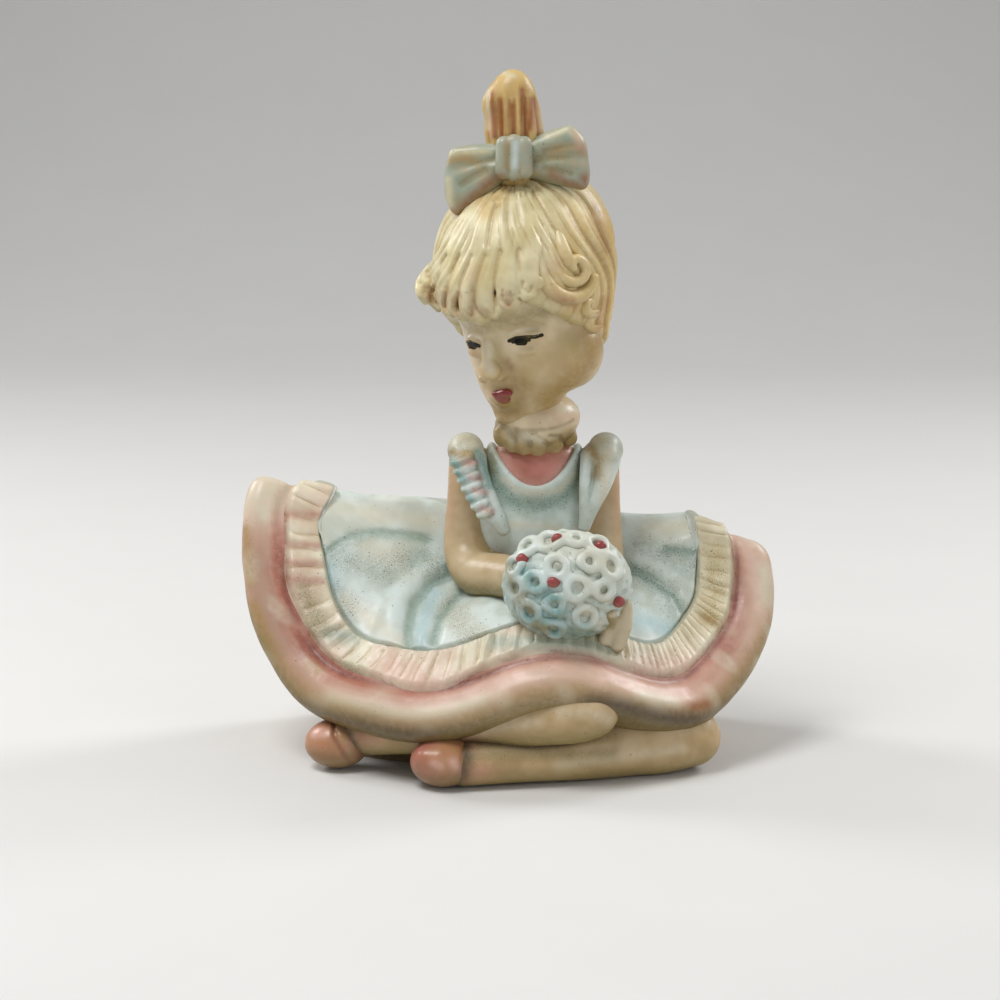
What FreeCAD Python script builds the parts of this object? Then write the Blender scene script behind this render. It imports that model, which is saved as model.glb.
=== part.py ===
import FreeCAD, Part
import math
import os

# Seated girl with a nosegay, a painted plaster casting about 230 mm tall.
# Millimetres, +Z up, the viewer stands at -Y. The origin lies on the flat
# underside of the skirt. The casting is divided along its sculpted creases and
# paint lines, and neighbouring pieces meet face to face.

Vector = FreeCAD.Vector

doc = FreeCAD.newDocument("seated_girl")
sheet = doc.addObject("Spreadsheet::Sheet", "sizes")

# Driving dimensions, one cell each
SIZES = {
    # Skirt, apron and ruffle
    "skirt_half_width": 85.5,
    "skirt_half_depth": 49.0,
    "wing_height": 88.0,
    "hem_roll": 6.0,
    "border_width": 9.5,
    "ruffle_width": 13.5,
    "ruffle_layer": 1.9,
    "pleat_depth": 0.7,
    "apron_layer": 1.2,
    "base_half_width": 57.0,
    "base_front": 22.0,
    "base_back": 40.0,
    "foot_height": 1.5,
    "lap_focus_height": 140.0,
    # Torso and bib
    "torso_offset": 8.5,
    "torso_setback": 3.0,
    "waist_level": 60.0,
    "waist_half_width": 18.5,
    "waist_half_depth": 11.5,
    "waist_half_height": 22.0,
    "bust_half_width": 21.0,
    "bust_half_depth": 12.5,
    "bust_half_height": 26.0,
    "shoulder_rise": 50.0,
    "shoulder_half_depth": 8.5,
    "bib_layer": 1.6,
    "scoop_radius": 14.5,
    "scoop_depth": 19.0,
    # Neck and its ruff
    "neck_radius": 9.5,
    "neck_length": 32.0,
    "ruff_half_width": 15.5,
    "ruff_half_depth": 13.5,
    "ruff_half_height": 10.0,
    "ruff_rise": 4.0,
    "ruff_offset": 1.0,
    "ruff_advance": 2.0,
    # Arms and hands
    "arm_spread": 22.5,
    "shoulder_slope": 2.0,
    "shoulder_radius": 6.6,
    "elbow_radius": 7.8,
    "wrist_radius": 7.6,
    "upper_arm_length": 36.0,
    "forearm_reach": 19.0,
    "forearm_inset": 16.0,
    "hand_length": 9.5,
    "hand_radius": 7.0,
    "flounce_radius": 8.0,
    "flounce_drop": 21.0,
    # Nosegay
    "nosegay_offset": 10.5,
    "nosegay_reach": 35.0,
    "nosegay_level": 66.0,
    "nosegay_half_width": 21.0,
    "nosegay_half_depth": 14.5,
    "nosegay_half_height": 18.0,
    "rosette_radius": 3.6,
    "petal_radius": 1.3,
    "bud_radius": 2.2,
    # Head and face
    "head_offset": 6.5,
    "head_rise": 49.5,
    "skull_half_width": 24.5,
    "skull_half_depth": 28.0,
    "skull_half_height": 33.5,
    "nose_drop": 13.0,
    "mouth_drop": 24.5,
    "nose_radius": 3.4,
    "lip_half_width": 3.8,
    # Hair
    "hair_layer": 4.6,
    "hair_back": 2.5,
    "flute_depth": 0.7,
    "lock_radius": 4.4,
    "lock_rise": 2.0,
    "curl_radius": 5.4,
    # Bow and ponytail
    "knot_offset": 2.2,
    "knot_half_width": 6.2,
    "knot_half_depth": 6.0,
    "knot_half_height": 6.5,
    "loop_span": 19.0,
    "loop_half_height": 11.0,
    "loop_half_depth": 5.0,
    "ponytail_rise": 33.0,
    "ponytail_half_width": 10.2,
    "ponytail_half_depth": 8.4,
    # Legs and shoes
    "knee_offset": 61.0,
    "shin_length": 76.0,
    "shin_radius": 9.0,
    "knee_radius": 10.6,
    "ankle_radius": 7.4,
    "thigh_reach": 44.0,
    "crossed_knee_offset": 27.0,
    "crossed_shin_length": 78.0,
    "crossed_shin_radius": 8.4,
    "crossed_knee_radius": 9.2,
    "leg_setback": 24.0,
    "ground_gap": 0.4,
    "shoe_half_length": 11.0,
    "shoe_half_width": 9.0,
    "shoe_half_height": 8.2,
}

# Angles in degrees
HEAD_TURN = -28.0
HEAD_NOD = 24.0
RUFF_LEAN = -14.0
# Keeps the neck's seam clear of the torso's and the head's
NECK_SEAM_TURN = 137.0

for row, (alias, size) in enumerate(SIZES.items(), start=1):
    sheet.set(f"A{row}", alias)
    sheet.set(f"B{row}", str(size))
    sheet.setAlias(f"B{row}", alias)
doc.recompute()


def of(alias):
    """The sheet's value for one driving dimension."""
    return float(sheet.get(alias))


def bind(item, name, formula):
    """Tie a property to the sheet. Cells stand in brackets in the formula."""
    item.setExpression(name, formula.replace("[", "sizes.").replace("]", ""))


def ellipsoid(name, across, deep, up, turns=FreeCAD.Rotation()):
    """An ellipsoid with a formula for each half axis. Its seam is at the back."""
    item = doc.addObject("Part::Ellipsoid", name)
    bind(item, "Radius1", up)
    bind(item, "Radius2", deep)
    bind(item, "Radius3", across)
    item.Placement = FreeCAD.Placement(Vector(), turns * FreeCAD.Rotation(90, 0, 0))
    return item


def put(item, across, deep, up):
    """Tie an object's position to three formulas."""
    bind(item, ".Placement.Base.x", across)
    bind(item, ".Placement.Base.y", deep)
    bind(item, ".Placement.Base.z", up)
    return item


def feature(name, shape):
    item = doc.addObject("Part::Feature", name)
    item.Shape = shape
    return item


def fuse(name, items):
    item = doc.addObject("Part::MultiFuse", name)
    item.Shapes = items
    return item


def cut(name, base, tools):
    """The base less each tool in turn, so that the faces left meet exactly."""
    item = base
    for count, tool in enumerate(tools, start=1):
        made = doc.addObject("Part::Cut", f"{name}_less_{count}")
        made.Base = item
        made.Tool = tool
        item = made
    return item


# Curves and skins

def ring_curve(points):
    """A closed smooth curve through the points, one knot at each."""
    curve = Part.BSplineCurve()
    knots = [float(k) for k in range(len(points) + 1)]
    curve.interpolate(Points=points, PeriodicFlag=True, Parameters=knots)
    return curve


def ring(points):
    return Part.Wire([ring_curve(points).toShape()])


def patch(rings):
    """A smooth face through rings that hold the same number of points.

    Two rings give a straight-sided band. The face ends exactly on ring(points)
    of its first and last rings, so that neighbouring faces share their edges.
    """
    steps = [0.0]
    for low, high in zip(rings, rings[1:]):
        spread = sum(a.distanceToPoint(b) for a, b in zip(low, high)) / len(low)
        steps.append(steps[-1] + spread)
    columns = []
    for points in zip(*rings):
        column = Part.BSplineCurve()
        column.interpolate(Points=list(points), Parameters=steps)
        columns.append(column)
    rows = list(zip(*[column.getPoles() for column in columns]))
    loops = [ring_curve(list(row)) for row in rows]
    poles = list(zip(*[loop.getPoles() for loop in loops]))
    surface = Part.BSplineSurface()
    surface.buildFromPolesMultsKnots(
        [list(row) for row in poles],
        loops[0].getMultiplicities(),
        columns[0].getMultiplicities(),
        loops[0].getKnots(),
        columns[0].getKnots(),
        True,
        False,
        loops[0].Degree,
        columns[0].Degree,
    )
    return surface.toShape()


def flat(points):
    return Part.Face(ring(points))


def closed_solid(faces):
    """Sew faces that meet along their edges into one solid."""
    shell = Part.makeShell(faces)
    shell.sewShape()
    solid = Part.makeSolid(shell)
    if solid.Volume < 0:
        solid.reverse()
    return solid


SECTION_POINTS = 8
# The seam of a section stands off the axes, clear of other pieces' seams
SEAM_SHARE = 0.37
CAP_SHARES = ((0.45, 0.89), (0.75, 0.66), (0.93, 0.36))


def section(centre, side, rise, half_side, half_rise, flutes=0, depth_share=0.0):
    """A closed oval across a limb, with flutes cut into it if asked."""
    count = max(SECTION_POINTS, flutes * 4)
    points = []
    for k in range(count):
        angle = 2 * math.pi * (k / count + SEAM_SHARE)
        swell = 1.0
        if flutes:
            swell = 1.0 - depth_share * (0.5 - 0.5 * math.cos(flutes * angle))
        points.append(
            centre
            + side * (half_side * swell * math.cos(angle))
            + rise * (half_rise * swell * math.sin(angle))
        )
    return points


def limb(stations, front=Vector(0, -1, 0), flutes=0, depth=0.0):
    """A swelling, tapering body along a path, with rounded ends.

    A station holds its centre, its half size square to the front, and its half
    size along the front.
    """
    centres = [station[0] for station in stations]
    ways = []
    for k in range(len(centres)):
        before = centres[max(k - 1, 0)]
        after = centres[min(k + 1, len(centres) - 1)]
        ways.append((after - before).normalize())
    rows = [(c, w, a, b) for (c, a, b), w in zip(stations, ways)]
    first, first_way, first_a, first_b = rows[0]
    last, last_way, last_a, last_b = rows[-1]
    first_end = min(first_a, first_b)
    last_end = min(last_a, last_b)
    start = [
        (first - first_way * (first_end * ahead), first_way, first_a * wide, first_b * wide)
        for ahead, wide in CAP_SHARES
    ]
    finish = [
        (last + last_way * (last_end * ahead), last_way, last_a * wide, last_b * wide)
        for ahead, wide in CAP_SHARES
    ]
    depth_share = depth / max(station[1] for station in stations)
    rings = []
    for centre, way, half_side, half_front in start[::-1] + rows + finish:
        side = way.cross(front).normalize()
        facing = side.cross(way).normalize()
        rings.append(section(centre, side, facing, half_side, half_front, flutes, depth_share))
    return closed_solid([flat(rings[0]), patch(rings), flat(rings[-1])])


# Skirt. A station runs inward from the hem, over a mid point, to the waist. It
# holds the hem point and the mid point, as shares of the half width, the half
# depth and the wing height. Stations go round from the right wing by the back,
# where the mid points form the ridge between the wings.
SKIRT_SHARES = (
    ((1.00, -0.02, 0.60), (0.66, 0.04, 0.70)),
    ((1.00, 0.13, 0.76), (0.75, 0.14, 0.83)),
    ((0.96, 0.30, 0.77), (0.74, 0.27, 0.89)),
    ((0.89, 0.50, 0.54), (0.62, 0.35, 0.88)),
    ((0.76, 0.70, 0.28), (0.48, 0.40, 0.85)),
    ((0.56, 0.82, 0.15), (0.34, 0.43, 0.84)),
    ((0.29, 0.87, 0.13), (0.20, 0.44, 0.83)),
    ((0.00, 0.88, 0.13), (0.05, 0.45, 0.84)),
    ((-0.29, 0.87, 0.13), (-0.16, 0.44, 0.85)),
    ((-0.56, 0.82, 0.16), (-0.36, 0.42, 0.88)),
    ((-0.77, 0.70, 0.32), (-0.54, 0.38, 0.92)),
    ((-0.91, 0.50, 0.68), (-0.70, 0.33, 0.98)),
    ((-0.96, 0.32, 1.01), (-0.78, 0.27, 1.01)),
    ((-0.99, 0.13, 1.01), (-0.75, 0.15, 0.90)),
    ((-1.00, -0.03, 0.80), (-0.64, 0.03, 0.76)),
    ((-0.95, -0.22, 0.57), (-0.56, -0.10, 0.64)),
    ((-0.80, -0.46, 0.36), (-0.47, -0.26, 0.56)),
    ((-0.60, -0.72, 0.31), (-0.36, -0.40, 0.54)),
    ((-0.37, -0.93, 0.29), (-0.22, -0.52, 0.58)),
    ((-0.14, -1.01, 0.34), (-0.09, -0.56, 0.62)),
    ((0.09, -1.04, 0.43), (0.07, -0.57, 0.64)),
    ((0.31, -1.02, 0.43), (0.23, -0.56, 0.64)),
    ((0.51, -0.90, 0.35), (0.36, -0.48, 0.61)),
    ((0.70, -0.69, 0.30), (0.47, -0.36, 0.57)),
    ((0.84, -0.45, 0.36), (0.56, -0.22, 0.58)),
    ((0.95, -0.22, 0.47), (0.63, -0.10, 0.63)),
)
WAIST_SHARE = 0.9
BORDER_LIMIT_SHARE = 0.3
RUFFLE_LIMIT_SHARE = 0.6
PLEAT_COUNT = 52
# How deep a pleat still is where the ruffle meets the apron
PLEAT_END_SHARE = 0.3


class Skirt:
    """The rings that the underskirt, the apron and its ruffle share."""

    def __init__(self):
        self.hem = [self.placed(shares) for shares, middle in SKIRT_SHARES]
        self.middle = [self.placed(shares) for hem, shares in SKIRT_SHARES]
        self.angle = [self.bearing(point) for point in self.middle]
        self.waist = [self.waist_point(angle, 0) for angle in self.angle]
        self.border = self.inner_points(of("border_width"), BORDER_LIMIT_SHARE)
        self.apron_edge = self.inner_points(
            of("border_width") + of("ruffle_width"), RUFFLE_LIMIT_SHARE
        )

    def placed(self, shares):
        return Vector(
            shares[0] * of("skirt_half_width"),
            shares[1] * of("skirt_half_depth"),
            shares[2] * of("wing_height"),
        )

    def bearing(self, point):
        across = (point.x - of("torso_offset")) / of("waist_half_width")
        deep = (point.y - of("torso_setback")) / of("waist_half_depth")
        return math.atan2(deep, across)

    def waist_point(self, angle, layer):
        across = of("waist_half_width") * WAIST_SHARE - layer
        deep = of("waist_half_depth") * WAIST_SHARE - layer
        return Vector(
            of("torso_offset") + across * math.cos(angle),
            of("torso_setback") + deep * math.sin(angle),
            of("waist_level") + layer,
        )

    def inner_points(self, reach, limit_share):
        """Points a given way in from the hem, along each station's own curve."""
        points = []
        for hem, middle, waist in zip(self.hem, self.middle, self.waist):
            curve = Part.BSplineCurve()
            curve.interpolate(Points=[hem, middle, waist])
            edge = curve.toShape()
            run = min(reach, edge.Length * limit_share)
            points.append(curve.value(edge.getParameterByLength(run)))
        return points

    def outside(self):
        """Points on the hem's outside, away from the lap."""
        focus = Vector(0, -of("skirt_half_depth") * 0.4, of("lap_focus_height"))
        return [p + (p - focus).normalize() * of("hem_roll") for p in self.hem]

    def apron_top(self):
        """The apron's upper side, ring by ring from its edge to the waist."""
        layer = of("apron_layer")
        edge_top = self.raised(self.border, self.apron_edge, self.middle, layer)
        middle_top = self.raised(self.apron_edge, self.middle, self.waist, layer)
        waist_top = [self.waist_point(angle, layer) for angle in self.angle]
        return [edge_top, middle_top, waist_top]

    def ruffle_top(self, extra):
        """The ruffle's upper side at its two edges, with extra room over it."""
        layer = of("ruffle_layer") + extra
        return [
            self.raised(self.hem, self.border, self.apron_edge, layer),
            self.raised(self.border, self.apron_edge, self.middle, layer),
        ]

    def ground(self, level):
        points = []
        for angle in self.angle:
            deep = of("base_back") if math.sin(angle) > 0 else of("base_front")
            across = of("base_half_width") * math.cos(angle)
            points.append(Vector(across, deep * math.sin(angle), level))
        return points

    def belly(self):
        """Halfway down the outside: full at the back, hollow over the legs."""
        points = []
        low_ring = self.ground(of("foot_height"))
        for low, high, angle in zip(low_ring, self.outside(), self.angle):
            out = Vector(math.cos(angle), math.sin(angle), 0)
            points.append((low + high) * 0.5 + out * (of("hem_roll") * math.sin(angle)))
        return points

    def raised(self, outer, points, inner, layer):
        """The points lifted square to the surface that the three rings lie on."""
        lifted = []
        for k, point in enumerate(points):
            along = points[(k + 1) % len(points)] - points[k - 1]
            inward = inner[k] - outer[k]
            lifted.append(point + along.cross(inward).normalize() * layer)
        return lifted


def outer_faces(skirt):
    """The underside and the outside, up over the hem to the apron's edge."""
    ground = skirt.ground(0)
    foot = skirt.ground(of("foot_height"))
    side = [foot, skirt.belly(), skirt.outside(), skirt.hem, skirt.border]
    seat = patch([skirt.border, skirt.apron_edge])
    return [flat(ground), patch([ground, foot]), patch(side), seat]


def underskirt_solid(skirt):
    lap = [skirt.apron_edge, skirt.middle, skirt.waist]
    return closed_solid(outer_faces(skirt) + [patch(lap), flat(skirt.waist)])


def dressed_solid(skirt):
    """The skirt with its ruffle and apron on, to trim whatever sits in the lap."""
    ruffle_out, ruffle_in = skirt.ruffle_top(of("pleat_depth"))
    over = skirt.apron_top()
    faces = outer_faces(skirt)[:-1]
    faces += [patch([skirt.border, ruffle_out]), patch([ruffle_out, ruffle_in])]
    faces += [patch([ruffle_in, over[0]]), patch(over), flat(over[-1])]
    return closed_solid(faces)


def apron_solid(skirt):
    """A thin sheet from the ruffle to the waist, lying on the underskirt."""
    under = [skirt.apron_edge, skirt.middle, skirt.waist]
    over = skirt.apron_top()
    rims = [patch([under[0], over[0]]), patch([under[-1], over[-1]])]
    return closed_solid([patch(under), patch(over)] + rims)


def finer(points):
    """More points on the same ring, two for each pleat."""
    curve = ring_curve(points)
    count = PLEAT_COUNT * 2
    return [curve.value(len(points) * k / count) for k in range(count)]


def pleated(low, high, fold_share):
    """A ring over the underskirt that rises and falls with each pleat."""
    fold = of("pleat_depth") / of("ruffle_layer") * fold_share
    pairs = zip(finer(low), finer(high))
    return [a + (b - a) * (1 + fold * (-1) ** k) for k, (a, b) in enumerate(pairs)]


def ruffle_solid(skirt):
    """A pleated band between the pink border and the apron."""
    outer, inner = skirt.ruffle_top(0)
    low = [finer(skirt.border), finer(skirt.apron_edge)]
    high = [pleated(skirt.border, outer, 1.0), pleated(skirt.apron_edge, inner, PLEAT_END_SHARE)]
    rims = [patch([low[0], high[0]]), patch([low[1], high[1]])]
    return closed_solid([patch(low), patch(high)] + rims)


# Torso, bib, neck and ruff

def torso_form(name, layer):
    """The chest and the waist as two swelling forms, grown by a layer."""
    chest = ellipsoid(
        name + "_chest",
        "[bust_half_width]" + layer,
        "[bust_half_depth]" + layer,
        "[bust_half_height]" + layer,
    )
    put(
        chest,
        "[torso_offset]",
        "[torso_setback]",
        "[waist_level] + [shoulder_rise] - [bust_half_height]",
    )
    waist = ellipsoid(
        name + "_waist",
        "[waist_half_width]" + layer,
        "[waist_half_depth]" + layer,
        "[waist_half_height]" + layer,
    )
    put(waist, "[torso_offset]", "[torso_setback]", "[waist_level]")
    return fuse(name, [chest, waist])


def scoop_form():
    """The neckline's cutter, an upright oval that opens upward."""
    item = ellipsoid("neckline", "[scoop_radius]", "[bust_half_depth] * 2", "[scoop_depth] * 2")
    put(item, "[torso_offset]", "[torso_setback]", "[waist_level] + [shoulder_rise] + [scoop_depth]")
    return item


def neck_solid():
    drop = of("shoulder_rise") * NECK_BASE_SHARE
    base = Vector(of("torso_offset"), of("torso_setback"), of("waist_level") + drop)
    shape = Part.makeCylinder(of("neck_radius"), of("neck_length"), base)
    shape.rotate(base, Vector(0, 0, 1), NECK_SEAM_TURN)
    return shape


def ruff_form():
    """A thick soft roll around the neck that leans to the viewer's right."""
    item = ellipsoid(
        "ruff_ball",
        "[ruff_half_width]",
        "[ruff_half_depth]",
        "[ruff_half_height]",
        FreeCAD.Rotation(0, RUFF_LEAN, 0),
    )
    return put(
        item,
        "[torso_offset] + [ruff_offset]",
        "[torso_setback] - [ruff_advance]",
        "[waist_level] + [shoulder_rise] + [ruff_rise]",
    )


# Arms, hands and frills

# How far up the shoulders the neck starts
NECK_BASE_SHARE = 0.8
# For each arm its side and its forearm's reach, inset and drop
ARM_SHARES = (("left", -1, (1.0, 1.0, 0.0)), ("right", 1, (1.35, 0.15, 0.2)))
FRILL_INSET_SHARES = {-1: 0.4, 1: 0.2}
HAND_INWARD_SHARE = 0.2
HAND_FORWARD_SHARE = 0.3


def at_shoulder(side):
    """The top of one arm. The side is -1 for the viewer's left, 1 for the right."""
    return Vector(
        of("torso_offset") + side * of("arm_spread"),
        of("torso_setback"),
        of("waist_level") + of("shoulder_rise") - of("shoulder_radius") - of("shoulder_slope"),
    )


def arm_solid(side, reach_share, inset_share, drop_share):
    """One bare arm from the shoulder by the elbow to the wrist."""
    shoulder = at_shoulder(side)
    down = Vector(0, 0, -of("upper_arm_length"))
    forward = Vector(0, -of("forearm_reach"), 0)
    inward = Vector(-side * of("forearm_inset"), 0, 0)
    elbow = shoulder + down + forward * 0.35
    wrist = elbow + forward * reach_share + inward * inset_share + down * drop_share
    upper = of("shoulder_radius")
    bend = of("elbow_radius")
    end = of("wrist_radius")
    stations = [
        (shoulder, upper, upper),
        (shoulder + down * 0.45 + forward * 0.08, upper, upper * 1.05),
        (shoulder + down * 0.85 + forward * 0.2, bend, bend),
        (elbow + down * 0.05 + inward * 0.25 * inset_share + forward * 0.15, bend, bend),
        (elbow + (wrist - elbow) * 0.6, bend, bend),
        (wrist, end, end),
    ]
    return limb(stations, front=Vector(-0.3 * side, -1, -0.4)), elbow, wrist


def hand_solid(elbow, wrist, turn):
    """A soft closed hand that carries on from the wrist."""
    way = ((wrist - elbow).normalize() + turn).normalize()
    reach = of("hand_length")
    size = of("hand_radius")
    stations = [
        (wrist, size, size),
        (wrist + way * reach, size, size * 0.8),
    ]
    return limb(stations, front=Vector(0, -1, -0.5))


def flounce_solid(side, inset):
    """A gathered frill over the top of the arm that narrows down the bib's edge."""
    size = of("flounce_radius")
    top = at_shoulder(side) + Vector(-side * inset * 0.15, 0, of("shoulder_radius") * 0.15)
    low = top + Vector(-side * inset, -of("shoulder_half_depth") * 1.2, -of("flounce_drop"))
    stations = [
        (top, size, size),
        (top * 0.6 + low * 0.4 + Vector(0, -size * 0.2, 0), size * 0.8, size * 0.75),
        (low, size * 0.4, size * 0.4),
    ]
    return limb(stations, front=Vector(0, -1, 0), flutes=8, depth=of("pleat_depth") * 2)


# Nosegay: bearings and heights of its flowers, in degrees seen from its centre
ROSETTE_ANGLES = (
    (-52, 32), (-24, 44), (8, 50), (38, 40),
    (-38, 8), (-12, 16), (16, 20), (44, 10), (66, 14),
    (-58, -20), (-28, -18), (0, -10), (28, -12), (54, -20),
    (-38, -46), (-8, -40), (22, -40), (46, -46),
)
BUD_ANGLES = ((-66, 14), (-40, 30), (-4, 34), (26, 30), (-10, -4), (56, -8))


def nosegay_centre():
    return Vector(
        of("torso_offset") + of("nosegay_offset"),
        -of("nosegay_reach"),
        of("nosegay_level"),
    )


def on_nosegay(turn, lift):
    """A point on the nosegay's skin and the way out of it."""
    turn = math.radians(turn)
    lift = math.radians(lift)
    way = Vector(
        math.sin(turn) * math.cos(lift), -math.cos(turn) * math.cos(lift), math.sin(lift)
    )
    point = Vector(
        way.x * of("nosegay_half_width"),
        way.y * of("nosegay_half_depth"),
        way.z * of("nosegay_half_height"),
    )
    out = Vector(
        way.x / of("nosegay_half_width"),
        way.y / of("nosegay_half_depth"),
        way.z / of("nosegay_half_height"),
    )
    return nosegay_centre() + point, out.normalize()


def nosegay_form():
    item = ellipsoid(
        "nosegay_ball", "[nosegay_half_width]", "[nosegay_half_depth]", "[nosegay_half_height]"
    )
    return put(item, "[torso_offset] + [nosegay_offset]", "-[nosegay_reach]", "[nosegay_level]")


def rosette_solids():
    """Ring-shaped flowers, each sunk in the nosegay to half its height."""
    radius = of("rosette_radius")
    petal = of("petal_radius")
    corners = ((-1.0, -0.8), (-0.7, 0.6), (-0.2, 1.0), (0.2, 1.0), (0.7, 0.6), (1.0, -0.8))
    points = [Vector(radius + petal * out, 0, petal * up) for out, up in corners]
    profile = Part.Face(Part.makePolygon(points + points[:1]))
    flower = profile.revolve(Vector(), Vector(0, 0, 1), 360)
    flowers = []
    for turn, lift in ROSETTE_ANGLES:
        point, out = on_nosegay(turn, lift)
        placed = flower.copy()
        placed.Placement = FreeCAD.Placement(point, FreeCAD.Rotation(Vector(0, 0, 1), out))
        flowers.append(placed)
    return Part.makeCompound(flowers)


def bud_solids():
    buds = []
    for turn, lift in BUD_ANGLES:
        point, out = on_nosegay(turn, lift)
        size = of("bud_radius")
        buds.append(Part.makeSphere(size, point + out * (size * 0.3), out))
    return Part.makeCompound(buds)


# Head, set from the shoulders. Local axes: -Y faces forward, +Z is the crown.

HEAD_TURNS = FreeCAD.Rotation(HEAD_TURN, 0, HEAD_NOD)
NOSE_REACH_SHARE = 0.99
# Along the mouth: place, half height and half depth, as shares of its half width
LIP_SHARES = ((-0.6, 0.35, 0.3), (0.0, 0.55, 0.45), (0.6, 0.35, 0.3))


def head_centre():
    return Vector(
        of("head_offset"),
        of("torso_setback"),
        of("waist_level") + of("shoulder_rise") + of("head_rise"),
    )


def in_head(x, y, z):
    """A point given in the head's own axes."""
    return head_centre() + HEAD_TURNS.multVec(Vector(x, y, z))


def over_hair(turn, lift, rise):
    """A point over the hair, by its bearing from the face and its height."""
    turn = math.radians(turn)
    lift = math.radians(lift)
    layer = of("hair_layer") + rise
    return in_head(
        math.sin(turn) * math.cos(lift) * (of("skull_half_width") + layer),
        -math.cos(turn) * math.cos(lift) * (of("skull_half_depth") + layer),
        math.sin(lift) * (of("skull_half_height") + layer),
    )


# The head's ovals from the chin up to the crown, as shares of its half height,
# half width and half depth: height, width, depth in front and depth behind
HEAD_SHARES = (
    (-1.21, 0.16, 0.80, -0.52),
    (-1.16, 0.34, 0.92, -0.30),
    (-1.00, 0.56, 1.00, -0.05),
    (-0.76, 0.74, 1.02, 0.25),
    (-0.45, 0.87, 1.00, 0.60),
    (-0.08, 0.97, 1.01, 0.88),
    (0.30, 1.00, 1.02, 1.00),
    (0.62, 0.86, 0.86, 0.90),
    (0.86, 0.58, 0.58, 0.63),
    (0.98, 0.27, 0.27, 0.30),
)


def head_solid(layer, back):
    """The head, or with a layer on it the hair around the head."""
    wide = of("skull_half_width")
    deep = of("skull_half_depth")
    high = of("skull_half_height")
    side = HEAD_TURNS.multVec(Vector(1, 0, 0))
    rear = HEAD_TURNS.multVec(Vector(0, 1, 0))
    rings = []
    for up, across, front, behind in HEAD_SHARES:
        half = (front + behind) * 0.5 * deep + layer + back * 0.5
        middle = (behind - front) * 0.5 * deep + back * 0.5
        centre = in_head(0, middle, up * (high + layer))
        rings.append(section(centre, side, rear, across * wide + layer, half))
    return closed_solid([flat(rings[0]), patch(rings), flat(rings[-1])])


def lip_solid():
    """Both lips as one small swelling across the mouth."""
    wide = of("lip_half_width")
    mouth = -of("skull_half_depth")
    stations = [
        (in_head(wide * along, mouth, -of("mouth_drop")), wide * tall, wide * deep)
        for along, tall, deep in LIP_SHARES
    ]
    return limb(stations, front=HEAD_TURNS.multVec(Vector(0, -1, 0)))


def face_opening():
    """An upright form before the face, arched at the hairline, to leave the face free."""
    high = of("skull_half_height")
    wide = of("skull_half_width") * 1.2
    deep = of("skull_half_depth")
    front = -deep * 1.05
    side = -wide * 0.17
    stations = [
        (in_head(side, front, -high * 1.9), wide, deep),
        (in_head(side, front, -high), wide, deep),
        (in_head(side, front, -high * 0.62), wide, deep),
    ]
    return limb(stations, front=HEAD_TURNS.multVec(Vector(0, -1, 0)))


# Fringe locks from the crown to the forehead: bearing and height in degrees at
# the top and at the tip, and the tip's own size as a share of the lock's
LOCK_ANGLES = (
    (-60, 62, -70, 3, 1.1),
    (-42, 62, -42, 6, 1.0),
    (-24, 62, -24, 6, 1.0),
    (-4, 62, -6, 8, 1.0),
    (14, 62, 14, 12, 1.0),
    (34, 60, 30, 22, 1.0),
)
CURL_ANGLES = ((52, 18), (66, 8), (56, 2))


def lock_solid(top_turn, top_lift, tip_turn, tip_lift, size):
    radius = of("lock_radius")
    stations = []
    for share, thick in ((0.0, 0.7), (0.3, 0.9), (0.6, 1.0), (0.85, 1.0), (1.0, 0.8)):
        turn = top_turn + (tip_turn - top_turn) * share
        lift = top_lift + (tip_lift - top_lift) * share
        point = over_hair(turn, lift, of("lock_rise"))
        stations.append((point, radius * thick * size, radius * thick * size * 0.6))
    out = stations[2][0] - head_centre()
    return limb(stations, front=out)


def curl_solid(turn, lift):
    """A small rolled curl beside the temple, lying across the head."""
    size = of("curl_radius")
    near = over_hair(turn - 12, lift - 4, 0)
    far = over_hair(turn + 14, lift + 2, 0)
    stations = [(near, size * 0.9, size * 0.9), (far, size, size)]
    return limb(stations, front=near - head_centre())


# Ponytail and bow

# For each loop its side, how far it droops and its height
BOW_SHARES = (("bow_left", -1, -0.35, 0.95), ("bow_right", 1, 0.1, 1.0))


def ponytail_root():
    """The point on the hair from which the ponytail and the bow start."""
    crown = in_head(0, 0, of("skull_half_height"))
    return Vector(of("knot_offset"), crown.y, head_centre().z + of("skull_half_height"))


def knot_form(root):
    item = ellipsoid("knot_ball", "[knot_half_width]", "[knot_half_depth]", "[knot_half_height]")
    item.Placement.Base = root + Vector(0, -of("ponytail_half_depth"), of("knot_half_height") * 1.6)
    return item


def ponytail_solid(root):
    """An upright fluted tuft of hair that narrows and folds over at its top."""
    wide = of("ponytail_half_width")
    deep = of("ponytail_half_depth")
    stations = [
        (root, wide * 0.9, deep),
        (root + Vector(0, 0, of("ponytail_rise") * 0.35), wide * 0.86, deep),
        (root + Vector(0, 0, of("ponytail_rise") * 0.75), wide, deep),
        (root + Vector(-wide * 0.1, 0, of("ponytail_rise") * 0.98), wide * 0.7, deep * 0.8),
    ]
    return limb(stations, flutes=9, depth=of("flute_depth"))


def loop_solid(root, side, droop, size):
    """One puffed loop of the bow that widens away from the knot."""
    root = root + Vector(0, -of("ponytail_half_depth") * 0.6, of("knot_half_height") * 1.2)
    half_height = of("loop_half_height") * size
    half_depth = of("loop_half_depth")
    span = of("loop_span")
    away = Vector(side, 0.1, droop)
    stations = [
        (root + away * (span * 0.1), half_height * 0.45, half_depth * 0.8),
        (root + away * (span * 0.45), half_height * 0.75, half_depth),
        (root + away * (span * 0.85), half_height, half_depth * 1.05),
    ]
    return limb(stations)


# Legs and shoes

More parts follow.
